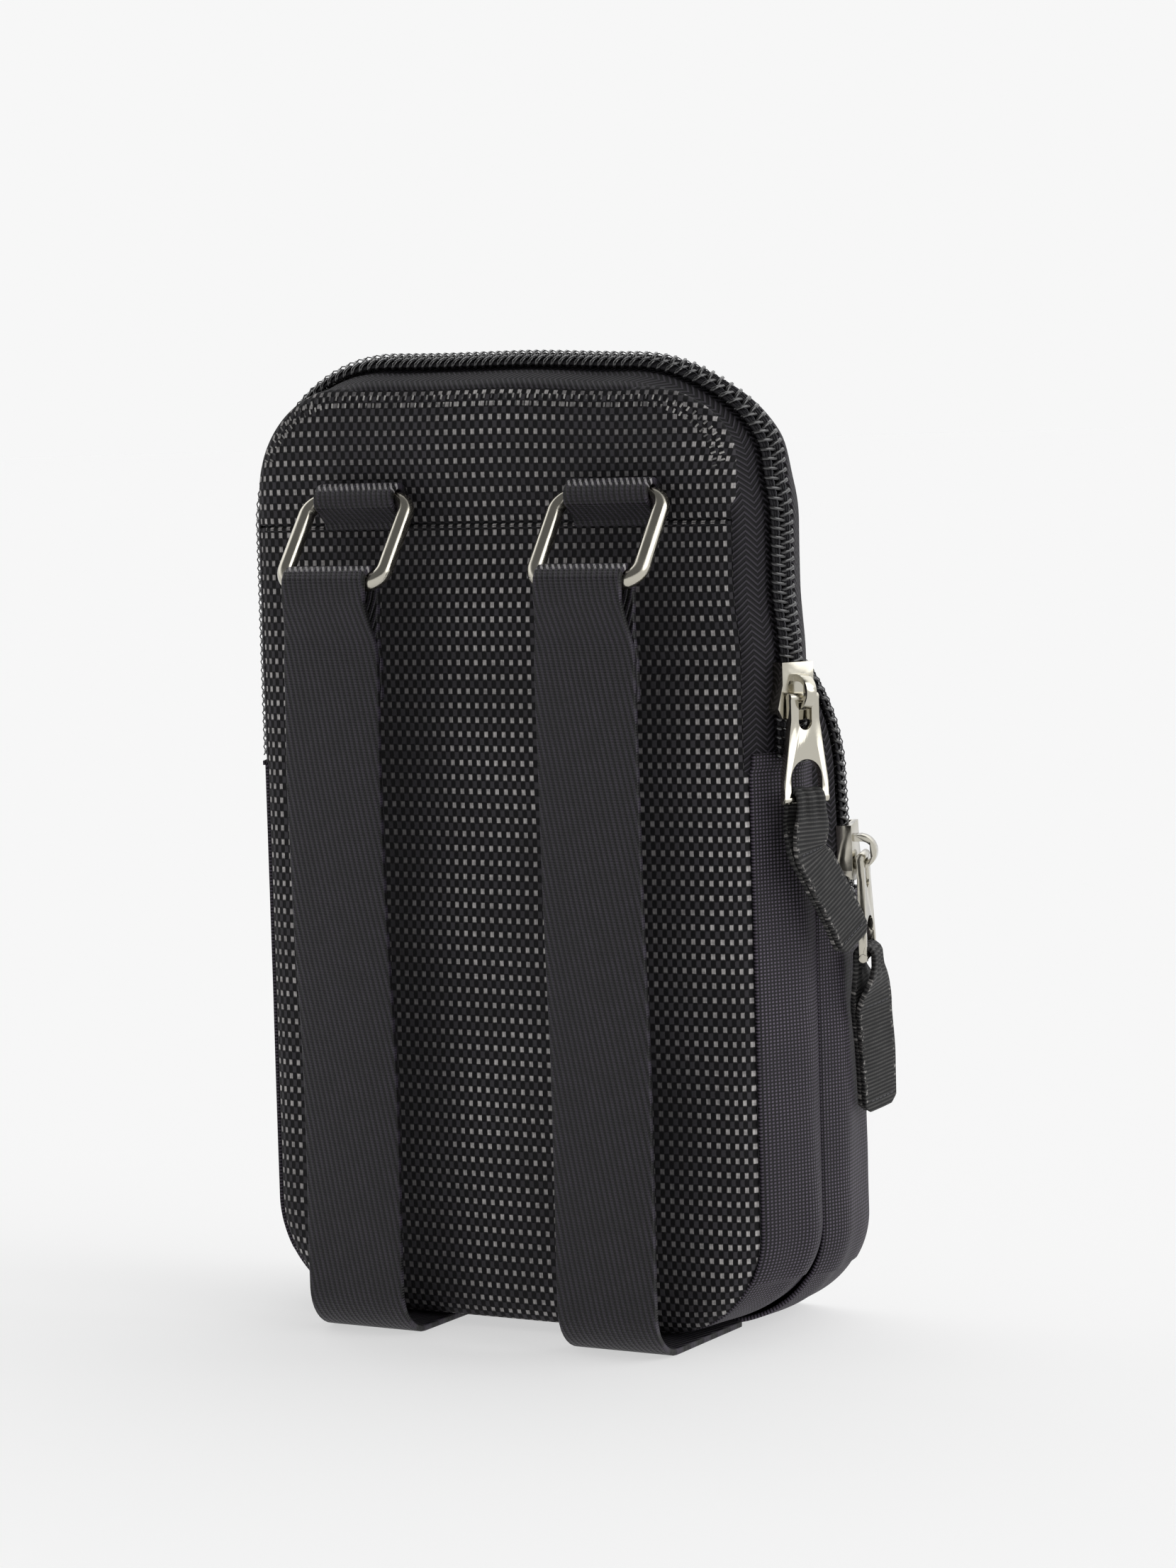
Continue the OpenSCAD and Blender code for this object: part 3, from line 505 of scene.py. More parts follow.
# %% Lining, foam and binding
lining = mottled("polyester_taffeta", "lining", "#4a4a50", 0.55, "#3c3c42", "#55555c",
                 60.0, 3.0)
foam = mottled("polyurethane_foam", "foam", "#77777a", 0.95, "#5c5c60", "#8a8a8d", 1200.0,
               kind="TexVoronoi", specular=0.1, depth_mm=0.2)
binding = mottled("nylon_binding_tape", "binding", "#1c1b1e", 0.7, "#121114", "#2d2c30",
                  1500.0, specular=0.25)

# %% [markdown]
# ## Helpers for pieces
# `keep` makes an object of a finished bmesh, gives it its finish, parents it to the body it rides
# on and hides the CAD nodes it stands for. `cloth` makes a sheet of a grid: it asks `place` where
# each point of the grid lies and where it is along the threads.

# %% Make and place a piece
CLOTH_T, NYLON_T, TAPE_T, LINING_T, FOAM_T = 0.9, 0.8, 0.45, 0.3, 2.2   # thicknesses


def keep(name, bm, material, body="pouch", stands_for=()):
    mesh = bpy.data.meshes.new(name)
    bm.to_mesh(mesh)
    bm.free()
    mesh.shade_smooth()
    mesh.materials.append(material)
    piece = bpy.data.objects.new(name, mesh)
    bpy.context.scene.collection.objects.link(piece)
    if body:
        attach(piece, body)
    if stands_for:
        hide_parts(*stands_for)
    print(f"{name}: {len(mesh.polygons)} faces")
    return piece


def cloth(along, across, place, over_turned=False):
    bm = bmesh.new()
    bmesh.ops.create_grid(bm, x_segments=along, y_segments=across, size=0.5)
    weave = bm.loops.layers.uv.new("Weave")
    bm.verts.index_update()
    threads = []
    for vert in bm.verts:
        point, thread_at = place(vert.co.x + 0.5, vert.co.y + 0.5)
        vert.co = Vector(point) * MM
        threads.append(thread_at)
    for face in bm.faces:
        for corner in face.loops:
            corner[weave].uv = threads[corner.vert.index]
    bmesh.ops.remove_doubles(bm, verts=bm.verts, dist=1e-6)
    if over_turned:
        bmesh.ops.reverse_faces(bm, faces=bm.faces)
    return bm


def thicken(piece, thickness):
    """A wall inwards from the modelled face."""
    wall_of = piece.modifiers.new("wall", "SOLIDIFY")
    wall_of.thickness = thickness * MM
    wall_of.offset = -1
    return piece


def soften(piece, levels=1):
    smooth = piece.modifiers.new("smooth", "SUBSURF")
    smooth.levels = smooth.render_levels = levels
    return piece


def cords(name, lines, radius, material, body="pouch", sides=1, stands_for=()):
    """Round cords of one radius, in mm, along lists of points, as one mesh."""
    curve = bpy.data.curves.new(name, "CURVE")
    curve.dimensions = "3D"
    curve.bevel_depth = radius * MM
    curve.bevel_resolution = sides
    curve.use_fill_caps = True
    for points in lines:
        spline = curve.splines.new("POLY")
        spline.points.add(len(points) - 1)
        for at, point in zip(spline.points, points):
            at.co = (*(Vector(point) * MM), 1)
    shape = bpy.data.objects.new(name + "_line", curve)
    bpy.context.scene.collection.objects.link(shape)
    made = bpy.data.meshes.new_from_object(shape.evaluated_get(
        bpy.context.evaluated_depsgraph_get()))
    bm = bmesh.new()
    bm.from_mesh(made)
    bpy.data.objects.remove(shape)
    bpy.data.meshes.remove(made)
    for face in bm.faces:
        face.material_index = 0
    return keep(name, bm, material, body, stands_for)


print("back cloth", CLOTH_T, "mm thick, gusset", NYLON_T, "mm")

# %% [markdown]
# ## The back panels
# Two pieces of dobby cloth lie over foam, joined by a seam under the rings. The cloth swells
# between its seams and rolls over at its edge, where it dives under the zip tape. A grid is laid
# over the outline, with close columns and rows where the edge rolls, and each point's depth
# comes from its distance to the edge.

# %% Where the cloth of a panel lies
FRONT_WEAVE_AT = 400           # the front's threads are counted from here, far from the back's
EDGE_STEPS = (0, 0.05, 0.2, 0.45, 0.8, 1.3, 1.9, 2.6, 3.5, 4.6, 6, 8)
EDGE_ROLL, EDGE_DROP = 5.0, 2.4   # the edge rolls over this width, and falls this far


def reach(body, z):
    """Half the width of the outline at a height."""
    for r, from_end in ((body["r"], body["top"] - z), (BASE_R, z - body["floor"])):
        if from_end < r:
            return HALF_W - r + math.sqrt(max(0.0, r * r - (r - from_end) ** 2))
    return HALF_W


def from_edge(body, x, z):
    """Distance in from the outline, and the direction out of it."""
    side = 1 if x >= 0 else -1
    for r, centre in ((body["r"], body["top"] - body["r"]), (BASE_R, body["floor"] + BASE_R)):
        beyond = z - centre if centre > body["end"] else centre - z
        if beyond > 0 and abs(x) > HALF_W - r:
            dx = abs(x) - (HALF_W - r)
            away = math.hypot(dx, beyond) or 1.0
            lift = beyond / away if centre > body["end"] else -beyond / away
            return r - away, side * dx / away, lift
    return min((HALF_W - abs(x), side, 0), (body["top"] - z, 0, 1), (z - body["floor"], 0, -1))


def heights(body, low, high, step=2.2):
    """Row heights, close together where the corners turn and at the two ends."""
    close = (0, 0.12, 0.35, 0.7, 1.2)
    stops = [low + d for d in close] + [high - d for d in close]
    for i in range(1, 16):
        a = math.pi / 2 * i / 15
        stops.append(body["floor"] + BASE_R * (1 - math.cos(a)))
        stops.append(body["top"] - body["r"] * (1 - math.cos(a)))
    z = body["floor"] + BASE_R + step
    while z < body["top"] - body["r"] - step / 2:
        stops.append(z)
        z += step
    kept = []
    for z in sorted(s for s in stops if low <= s <= high):
        if not kept or z - kept[-1] > 0.02:
            kept.append(z)
    return kept


def spread(body, z, columns):
    """Positions across a row: fixed steps near both edges, even ones between."""
    half = reach(body, z)
    border = [-half + d for d in EDGE_STEPS]
    inner = half - EDGE_STEPS[-1]
    count = columns - 2 * len(EDGE_STEPS) + 2
    middle = [-inner + 2 * inner * i / count for i in range(1, count)]
    return border + middle + [-x for x in reversed(border)]


def panel(body, low, high, face_y, outward, swell, columns=60, roll=EDGE_ROLL,
          drop=EDGE_DROP, seams=(), spill=0.0):
    """Cloth over an outline between two heights. outward is 1 for the back and -1 for the front.

    spill is how far its top and sides run on past the outline, to meet a seam that bulges.
    """
    rows_at = heights(body, low, high)
    weave_from = 0 if outward > 0 else FRONT_WEAVE_AT

    def place(u, v):
        z = rows_at[round(v * (len(rows_at) - 1))]
        x = spread(body, z, columns)[round(u * columns)]
        inside, nx, nz = from_edge(body, x, z)
        turn = max(0.0, 1 - max(0.0, inside) / roll)
        fall = drop * (1 - math.sqrt(max(0.0, 1 - turn * turn)))
        for seam in seams:
            near = max(0.0, 1 - abs(z - seam) / 1.2)
            fall += 0.9 * (1 - math.sqrt(1 - near * near)) * min(1.0, inside / 3)
        y = face_y + outward * (swell(x, z, inside) - fall)
        extra = 1.2 * turn * turn
        deep = SEAM_Y + (y - SEAM_Y) * share(body, z)
        more = spill * (1 - ramp(inside, 0, 8)) if nz > -0.3 else 0.0
        thread_at = (x + nx * (extra + more) + weave_from, z + nz * (extra + more))
        return settle((x + nx * more, deep, z + nz * more)), thread_at

    return cloth(columns, len(rows_at) - 1, place, over_turned=outward > 0)


print("rows of cloth over the whole back:", len(heights(MAIN, MAIN["floor"], MAIN["top"])))

# %% [markdown]
# The foam crowns the cloth, less so near the cross seam, where stitches pull it flat. Slow noise
# gives the waves of padded cloth, and one crease lies on the near side above the slider.

# %% Swell and wrinkles of the back
LOOP_X = {side: sum(c[0] for c in mm_box("ring_" + side)) / 2 for side in ("left", "right")}


def back_swell(x, z, inside):
    soft = ramp(inside, 0, 9)
    near_seam = math.exp(-((z - SEAM_Z) / 12) ** 2)
    crown = 2.0 * ramp(inside, -4, 34) * (1 - near_seam)
    drift = noise.noise(Vector((x / 34, z / 26, 3.1))) * 0.75
    fold = noise.noise(Vector((x / 16, z / 9, 7.7))) * 0.28
    crease = 0.0
    if x < -24:
        reach_in = ramp(-x, 26, 36) * (1 - ramp(-x, 44, 50))
        crease = reach_in * (0.6 * math.exp(-((z - 129.5) / 1.6) ** 2)
                             - 0.9 * math.exp(-((z - 126) / 2.0) ** 2))
    return soft * (crown + (drift + fold) * (1 - 0.8 * near_seam) + crease)


BACK = dict(MAIN, r=19.5)      # the padded panel is squarer at the top than the zip round it
for half, low, high in (("upper", SEAM_Z + 0.1, BACK["top"]),
                        ("lower", BACK["floor"], SEAM_Z - 0.1)):
    piece = keep(f"back_{half}_cloth", panel(BACK, low, high, BACK_Y, 1, back_swell,
                                             seams=(SEAM_Z,)),
                 dobby, stands_for=[f"back_{half}_panel"])
    soften(thicken(piece, CLOTH_T))

# %% [markdown]
# Across the seam the lower piece is folded over, and its folded edge stands as a thin round lip.
# It is a sheet of its own, rolled into a tube: a fold in the panel's grid would pinch its weave.

# %% Folded lip of the seam
def lip(u, v):
    x = -HALF_W + 2.2 + u * (2 * HALF_W - 4.4)
    a = 2 * math.pi * v
    wander = noise.noise(Vector((x / 9, 0, 5))) * 0.12
    y = BACK_Y - 0.35 + 0.55 * math.cos(a) - 1.2 * ramp(abs(x), HALF_W - 5, HALF_W)
    return (x, y, SEAM_Z - 0.5 + wander + 0.5 * math.sin(a)), (x, v * 3)


keep("back_seam_fold", cloth(80, 8, lip, over_turned=True), dobby)

# %% [markdown]
# Where the upper piece rolls over at its edge, its light floats crowd into two rows of dashes
# that follow the outline. They are short cords, because the weave's dots would smear there.

# %% Rows of floats round the upper edge
yarn, tree, shader = finish("light_polyester_yarn", "#85837f", 0.6)
tone = add(tree, "TexNoise", add(tree, "TexCoord", out=3), 400.0)
caught = add(tree, "MapRange", tone, 0.35, 0.65, **SMOOTH)
dress(tree, shader, add(tree, "Mix", caught, linear("#3a393b"), linear("#a5a3a0"), **COLOURS))


def on_edge(s, inside):
    """A point of the rolled edge, at a length along the outline and a distance in from it."""
    x, z, nx, nz = rim(BACK, s)
    x, z = x - nx * inside, z - nz * inside
    turn = max(0.0, 1 - inside / EDGE_ROLL)
    fall = EDGE_DROP * (1 - math.sqrt(1 - turn * turn))
    return settle((x, BACK_Y + back_swell(x, z, inside) - fall + 0.02, z))


DASH_STEP, DASH_HALF, DASH_R = 1.55, 0.42, 0.2
DASH_ROWS = (1.9, 3.3)         # how far in from the outline
dashes = [[on_edge(DASH_STEP * (i + 0.5 * row), inset + d) for d in (-DASH_HALF, 0.0, DASH_HALF)]
          for row, inset in enumerate(DASH_ROWS) for i in range(int(over(BACK) / DASH_STEP))
          if rim(BACK, DASH_STEP * i)[3] > 0.3]
cords("back_edge_floats", dashes, DASH_R, yarn, sides=0)

# %% [markdown]
# ## Gussets
# The nylon that runs round the sides and under the base is thin and soft. It bellies out between
# its seams, and faint folds run across it. Its shape across is a table of depth and bulge, taken
# from the part's source and smoothed, with some extra fullness. A cloth simulation could give
# the folds, but a table is sure to meet the tapes and panels where the CAD parts do.

# %% Bulge tables and the gussets
CHAIN = 5.2                    # width of a closed chain
FLAT = CHAIN - 0.2
MAIN_BACK = BACK_Y - 8.0       # back edge of the main chain
MAIN_TURN, POCKET_TURN = math.radians(25), math.radians(-15)
MAIN_BULGE = [(SEAM_Y, 3.8), (MAIN_BACK - FLAT, 2.8 + FLAT * math.tan(MAIN_TURN)),
              (MAIN_BACK, 2.8), (BACK_Y, 0.0)]
POCKET_BACK = SEAM_Y - 6.6
POCKET_BULGE = [(FRONT_Y, -0.8), (FRONT_Y + 4, 3.0),
                (POCKET_BACK - FLAT, 5.6 + FLAT * math.tan(POCKET_TURN)), (POCKET_BACK, 5.6),
                (SEAM_Y, 3.8)]


def lookup(table, y):
    if y <= table[0][0]:
        return table[0][1]
    for (y0, b0), (y1, b1) in zip(table, table[1:]):
        if y <= y1:
            return b0 + (b1 - b0) * (y - y0) / (y1 - y0)
    return table[-1][1]


def smooth_lookup(table, y, width=1.6):
    return sum(lookup(table, y + width * k / 4) for k in range(-4, 5)) / 9


HEM_RISE = 3.5                 # how far the gusset's hem laps over the ends of the tapes


def gusset(body, table, y_back, y_front, seed, fullness):
    """The cloth from one end of the zip to the other, under the base."""
    start, end = over(body) - HEM_RISE, around(body) + HEM_RISE

    def place(u, v):
        s = start + (end - start) * u
        y = y_back + (y_front - y_back) * v
        x, z, nx, nz = rim(body, s)
        middle = math.sin(math.pi * v)
        low = ramp(z, 95, 40)
        puff = fullness * (middle ** 0.7) * (0.35 + 0.65 * low) * (1 if nz > -0.5 else 0.2)
        ripple = noise.noise(Vector((s / 30, y / 7, seed))) * 0.9
        ripple += noise.noise(Vector((s / 9, y / 12, seed + 9))) * 0.35
        hem = min(s - start, end - s)
        folded = 0.45 * (1 - ramp(hem, 2.6, 3.4)) + 0.25 * (1 - ramp(abs(hem - 0.5), 0, 0.8))
        out = smooth_lookup(table, y) + puff + ripple * middle * 0.5 * abs(nx) + folded
        inset = 0.0 if nz > -0.5 else 0.1
        return wall(body, s, y, out, inset), (s, y)

    return cloth(260, 26, place)


for where, body, table, y_back, y_front, seed, fullness in (
        ("main", MAIN, MAIN_BULGE, BACK_Y - 1.9, SEAM_Y + 0.1, 1.0, 1.3),
        ("pocket", POCKET, POCKET_BULGE, SEAM_Y - 0.1, FRONT_Y + 1.3, 2.0, 1.0)):
    piece = keep(f"{where}_gusset_cloth", gusset(body, table, y_back, y_front, seed, fullness),
                 side_nylon, stands_for=[f"{where}_gusset"])
    thicken(piece, NYLON_T)

# %% [markdown]
# ## Zip tapes
# The tapes run from the seams to the chain and end under the coil. Beside the coil each tape
# dips into a narrow channel. A strip bent by a modifier would shear at the corners, so every
# point is placed by the walk round the outline, and the herringbone follows the curve.

# %% Tapes
def chain_spot(middle, turn, v, w):
    """Depth and bulge of a point v across the chain to the front and w out of the tape."""
    return (middle[0] - v * math.cos(turn) + w * math.sin(turn),
            middle[1] + v * math.sin(turn) + w * math.cos(turn))


TAPE_PAST = 2.5                # how far a tape runs on past each end of the zip
MAIN_MIDDLE = (MAIN_BACK - FLAT / 2, 2.8 + FLAT / 2 * math.tan(MAIN_TURN))
POCKET_MIDDLE = (POCKET_BACK - FLAT / 2, 5.6 + FLAT / 2 * math.tan(POCKET_TURN))


def tape(body, corners, seed):
    """A strip along the zip whose cross-section is a list of (depth, bulge)."""
    lengths = [0.0]
    for (y0, b0), (y1, b1) in zip(corners, corners[1:]):
        lengths.append(lengths[-1] + math.hypot(y1 - y0, b1 - b0))
    across = len(corners) - 1

    def place(u, v):
        s = -TAPE_PAST + (over(body) + 2 * TAPE_PAST) * u
        y, out = corners[round(v * across)]
        mid = math.sin(math.pi * v)
        wave = noise.noise(Vector((s / 14, y / 5, seed))) * 0.3 * mid
        end = min(s + TAPE_PAST, over(body) + TAPE_PAST - s)
        tuck = 0.5 * (1 - ramp(end, 2.0, 3.6))
        return wall(body, s, y, out + wave - tuck), (s, lengths[round(v * across)])

    return cloth(200, across, place)


def profile(points):
    """Rounds a list of corners by cutting each of them."""
    for _ in range(2):
        cut = [points[0]]
        for (y0, b0), (y1, b1) in zip(points, points[1:]):
            cut.append((0.75 * y0 + 0.25 * y1, 0.75 * b0 + 0.25 * b1))
            cut.append((0.25 * y0 + 0.75 * y1, 0.25 * b0 + 0.75 * b1))
        points = cut + [points[-1]]
    return points


def tape_corners(table, middle, turn, side, seam):
    """From the seam to the channel beside the coil and on under it. side is -1 at the back."""
    half = CHAIN / 2
    out = [chain_spot(middle, turn, side * v, w)
           for v, w in ((half + 0.9, 0.35), (half + 0.5, 0.1), (half, -0.05), (0.15, -0.05))]
    start = [(seam, lookup(table, seam) - 0.9), (seam + side * 0.8, lookup(table, seam) + 0.1)]
    return profile(start + out)


for name, body, table, middle, turn, side, seam, seed in (
        ("main_tape_back", MAIN, MAIN_BULGE, MAIN_MIDDLE, MAIN_TURN, -1, BACK_Y - 1.2, 1),
        ("main_tape_front", MAIN, MAIN_BULGE, MAIN_MIDDLE, MAIN_TURN, 1, SEAM_Y + 0.3, 2),
        ("pocket_tape_back", POCKET, POCKET_BULGE, POCKET_MIDDLE, POCKET_TURN, -1, SEAM_Y, 3),
        ("pocket_tape_front", POCKET, POCKET_BULGE, POCKET_MIDDLE, POCKET_TURN, 1,
         FRONT_Y + 1.3, 4)):
    corners = tape_corners(table, middle, turn, side, seam)
    made = tape(body, corners, seed)
    if side > 0:
        bmesh.ops.reverse_faces(made, faces=made.faces)
    piece = keep(name + "_cloth", made, zip_tape, stands_for=[name])
    thicken(piece, TAPE_T)

# %% [markdown]
# ## Coils
# A coil zip's row is one monofilament wound as a flat spring and sewn to the tape. Its turns
# reach past the middle of the chain and catch between those of the other row. Each row is a
# real flattened helix with the pitch of the chain. Below the slider the rows stand apart, which
# is why each is one long cord and not an array of one turn. Thin cords fill the coil's core.

# %% Coil rows
PITCH = 1.65
WIRE_R, SEWING_R, FILLER_R = 0.4, 0.12, 0.33   # radii of monofilament, thread and core
TURN_MIDDLE, TURN_HALF = (0.98, 0.95), (1.42, 0.68)   # of a turn, across the chain and out
POINTS_A_TURN = 10
SLIDER_Z = {"main": 120.5, "pocket": 89.5}
ASIDE = 1.15                   # how far each row moves aside below the slider


def aside(x, z, slider_z):
    if x > 0 or z > slider_z + 0.5:
        return 0.0
    return ASIDE * min(1.0, (slider_z + 0.5 - z) / 3.5)


def on_chain(body, middle, turn, side, slider_z, s, v, w):
    x, z, _, _ = rim(body, s)
    shift = aside(x, z, slider_z)
    y, out = chain_spot(middle, turn, side * (v + shift), w + 0.12 * shift)
    return wall(body, s, y, out)


def coil_row(body, middle, turn, side, slider_z):
    turns = int((over(body) - 2.5) / PITCH)
    line = []
    for i in range(turns * POINTS_A_TURN + 1):
        a = 2 * math.pi * i / POINTS_A_TURN
        s = 1.0 + PITCH * i / POINTS_A_TURN + (PITCH / 2 if side > 0 else 0.0)
        c, f = math.cos(a), math.sin(a)
        flat = math.copysign(abs(f) ** 0.6, f)
        line.append(on_chain(body, middle, turn, side, slider_z, s,
                             TURN_MIDDLE[0] - TURN_HALF[0] * c,
                             TURN_MIDDLE[1] - TURN_HALF[1] * flat))
    return line


def coil_thread(body, middle, turn, side, slider_z, v):
    """The sewing thread that crosses the legs and dips between them."""
    turns = int((over(body) - 2.5) / PITCH)
    return [on_chain(body, middle, turn, side, slider_z,
                     1.0 + PITCH * (i / 2 + (0.5 if side > 0 else 0) + 0.2), v,
                     2.08 if i % 2 == 0 else 1.7) for i in range(2 * turns)]


for where, body, middle, turn in (("main", MAIN, MAIN_MIDDLE, MAIN_TURN),
                                  ("pocket", POCKET, POCKET_MIDDLE, POCKET_TURN)):
    for end, side in (("back", -1), ("front", 1)):
        line = coil_row(body, middle, turn, side, SLIDER_Z[where])
        cords(f"{where}_coil_{end}_turns", [line], WIRE_R, zip_coil,
              stands_for=[f"{where}_coil_{end}"])
        sewn = [coil_thread(body, middle, turn, side, SLIDER_Z[where], 1.2)]
        cords(f"{where}_coil_{end}_sewing", sewn, SEWING_R, thread, sides=0)
        filler = [[on_chain(body, middle, turn, side, SLIDER_Z[where], s, v,
                            TURN_MIDDLE[1])
                   for s in range(1, int(over(body)) - 1)] for v in (0.75, 1.3, 1.85)]
        cords(f"{where}_coil_{end}_filler", filler, FILLER_R, binding)

# %% [markdown]
# ## Metal
# The sliders and tabs are die cast, so their edges are rounded and their faces flat. A merged
# copy of each CAD node gets a rounded edge: a casting drawn anew would have to fit its joint
# again. The rings are bent wire, and their CAD nodes are right as they are, so they only take
# the finish.

# %% Sliders, tabs and rings
def merged_copy(node):
    bm = bmesh.new()
    bm.from_mesh(frame["nodes"][node].data)
    bmesh.ops.remove_doubles(bm, verts=bm.verts, dist=2e-6)
    bmesh.ops.dissolve_limit(bm, angle_limit=math.radians(1), verts=bm.verts, edges=bm.edges)
    return bm


def round_edges(piece, width, segments=2, angle=30):
    edge = piece.modifiers.new("edge", "BEVEL")
    edge.width = width * MM
    edge.segments = segments
    edge.limit_method = "ANGLE"
    edge.angle_limit = math.radians(angle)
    edge.harden_normals = True
    return piece


for where in ("main", "pocket"):
    for part, width in (("slider", 0.3), ("tab", 0.32)):
        node = f"{where}_{part}"
        piece = keep(node + "_casting", merged_copy(node), nickel, body=node, stands_for=[node])
        round_edges(piece, width)
for side in ("left", "right"):
    ring = frame["nodes"]["ring_" + side]
    ring.data.materials.clear()
    ring.data.materials.append(nickel)
print("the rings take", nickel.name)

# %% [markdown]
# ## Webbing
# The middle line of a band is a list of points in the plane of depth and height. It is walked by
# length, like the outline, so that the weave keeps its size round every bend.

# %% Walk along a line
def arc(cy, cz, r, start, end, steps=10):
    return [(cy + r * math.cos(math.radians(start + (end - start) * i / steps)),
             cz + r * math.sin(math.radians(start + (end - start) * i / steps)))
            for i in range(steps + 1)]


def measured(points):
    lengths = [0.0]
    for a, b in zip(points, points[1:]):
        lengths.append(lengths[-1] + math.dist(a, b))
    return lengths


def at_length(points, lengths, s):
    for i in range(1, len(points)):
        if s <= lengths[i] or i == len(points) - 1:
            t = (s - lengths[i - 1]) / (lengths[i] - lengths[i - 1])
            return [a + (b - a) * t for a, b in zip(points[i - 1], points[i])]


print(f"a quarter turn of radius 10 measures {measured(arc(0, 0, 10, 0, 90))[-1]:.1f} mm")

# %% [markdown]
# Each belt loop is one length of webbing: sewn back on itself below the ring, over the ring's lower
# bar, down the back, round under the base. It is as wide as the ring lets it be at the top. It
# stands for two CAD nodes and is attached to neither of their bodies.

# %% Belt loops
STRAP_W, STRAP_T = 20.5, 1.3
WEB_MID = 2.6                  # radius of the webbing's middle round a ring's bar
RING_Y, RING_Z = BACK_Y + 3.6, SEAM_Z + 4.8
RING_L, TILT = 18.8, math.radians(37)   # from bar to bar, and how far it leans off the back
BAR_Y, BAR_Z = RING_Y + RING_L * math.sin(TILT), RING_Z - RING_L * math.cos(TILT)
MEET_Z = BAR_Z - 10.7
LAP_Z = MEET_Z - 11
CURL_Y, CURL_R = 28.0, 8.5
loop_line = ([(BAR_Y - 0.5, LAP_Z), (BAR_Y - 0.5, LAP_Z + 5), (BAR_Y - 0.5, MEET_Z)]
             + [(BAR_Y - WEB_MID, BAR_Z - 3.4)] + arc(BAR_Y, BAR_Z, WEB_MID, 180, 0, 14)
             + [(BAR_Y + WEB_MID, BAR_Z - 3.4), (BAR_Y + 0.9, MEET_Z), (BAR_Y + 0.85, LAP_Z)]
             + [(BAR_Y + 0.5, LAP_Z - 22), (BAR_Y, 70), (BAR_Y - 0.9, 35)]
             + arc(CURL_Y, CURL_R, CURL_R - 0.7, 0, -90, 12) + [(15, 0.72), (SEAM_Y + 0.6, 0.72)])
loop_lengths = measured(loop_line)
LOOP_FOLD = loop_lengths[11]   # the webbing's lengths are counted from its fold over the bar
print(f"a belt loop is {loop_lengths[-1]:.0f} mm long when it is unfolded")


def belt_loop(middle_x, seed):
    total = loop_lengths[-1]

    def place(u, v):
        s = total * u
        y, z = at_length(loop_line, loop_lengths, s)
        near = ramp(z, BAR_Z - 15, BAR_Z - 3)
        half = STRAP_W / 2 - near * 1.35
        x = (2 * v - 1) * half
        free = ramp(z, 20, 60) * (1 - ramp(z, 105, 125))
        bow = noise.noise(Vector((z / 45, seed, 0))) * 0.9 * free
        sway = noise.noise(Vector((seed, z / 60, 4))) * 0.7 * free
        cup = 0.35 * (x / half) ** 2 * ramp(z, 12, 30) * (1 - near)
        return (middle_x + x + sway, y + bow - cup, z), (x, s - LOOP_FOLD)

    return cloth(150, 12, place)


def flat_band(piece, thickness, edge=0.28):
    body_of_band = piece.modifiers.new("wall", "SOLIDIFY")
    body_of_band.thickness = thickness * MM
    body_of_band.offset = 0
    round_edges(piece, edge, segments=2, angle=50)
    piece.modifiers["edge"].harden_normals = False
    return piece


for side, seed in (("left", 1.7), ("right", 6.2)):
    x = LOOP_X[side]
    piece = keep(f"belt_loop_{side}", belt_loop(x, seed), webbing, body=None,
                 stands_for=[f"strap_{side}", f"strap_base_{side}"])
    flat_band(piece, STRAP_T)
    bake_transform(piece)

# %% [markdown]
# A short length of the same webbing goes over each ring's upper bar, and its two ends are
# caught in the seam between the back panels. It is made just as the belt loops are.

# %% Short tabs that hold the rings
TAB_W = 17.2
tab_line = ([(BACK_Y + 0.95, SEAM_Z - 0.6), (BACK_Y + 1.0, RING_Z)]
            + arc(RING_Y, RING_Z, WEB_MID, 180, -20, 16)
            + [(BACK_Y + 2.6, SEAM_Z + 0.9), (BACK_Y + 2.2, SEAM_Z - 0.6)])
tab_lengths = measured(tab_line)
TAB_FOLD = tab_lengths[10]
print(f"a ring tab is {tab_lengths[-1]:.0f} mm long when it is unfolded")


def ring_tab(middle_x):
    def place(u, v):
        s = tab_lengths[-1] * u
        y, z = at_length(tab_line, tab_lengths, s)
        x = (2 * v - 1) * TAB_W / 2
        return (middle_x + x, y, z), (x, s - TAB_FOLD)

    return cloth(60, 10, place)


for side in ("left", "right"):
    piece = keep(f"ring_tab_{side}_webbing", ring_tab(LOOP_X[side]), webbing,
                 stands_for=[f"ring_tab_{side}"])
    flat_band(piece, STRAP_T)

# %% [markdown]
# ## Ribbon pulls
# A length of grosgrain is passed through the tab's lower opening, folded in half and sewn. It
# is pinched to a narrow neck at the tab, and widens below. A simulated ribbon would settle
# anywhere, and this one has to keep to the tab's opening, so it is placed like the webbing, in
# the slider's own frame: X across the chain, Y up along it and Z out of it.

# %% Frames of the two sliders
def slider_frame(middle, turn, z, fall):
    deep = SEAM_Y + (middle[0] - SEAM_Y) * (share(POCKET, z) if fall else 1.0)
    place = Matrix.Translation((-HALF_W - middle[1], deep, z))
    stand = Matrix.Rotation(math.radians(-90) - turn, 4, "Z") @ Matrix.Rotation(math.pi / 2, 4, "X")
    return place @ Matrix.Rotation(-fall, 4, "X") @ stand


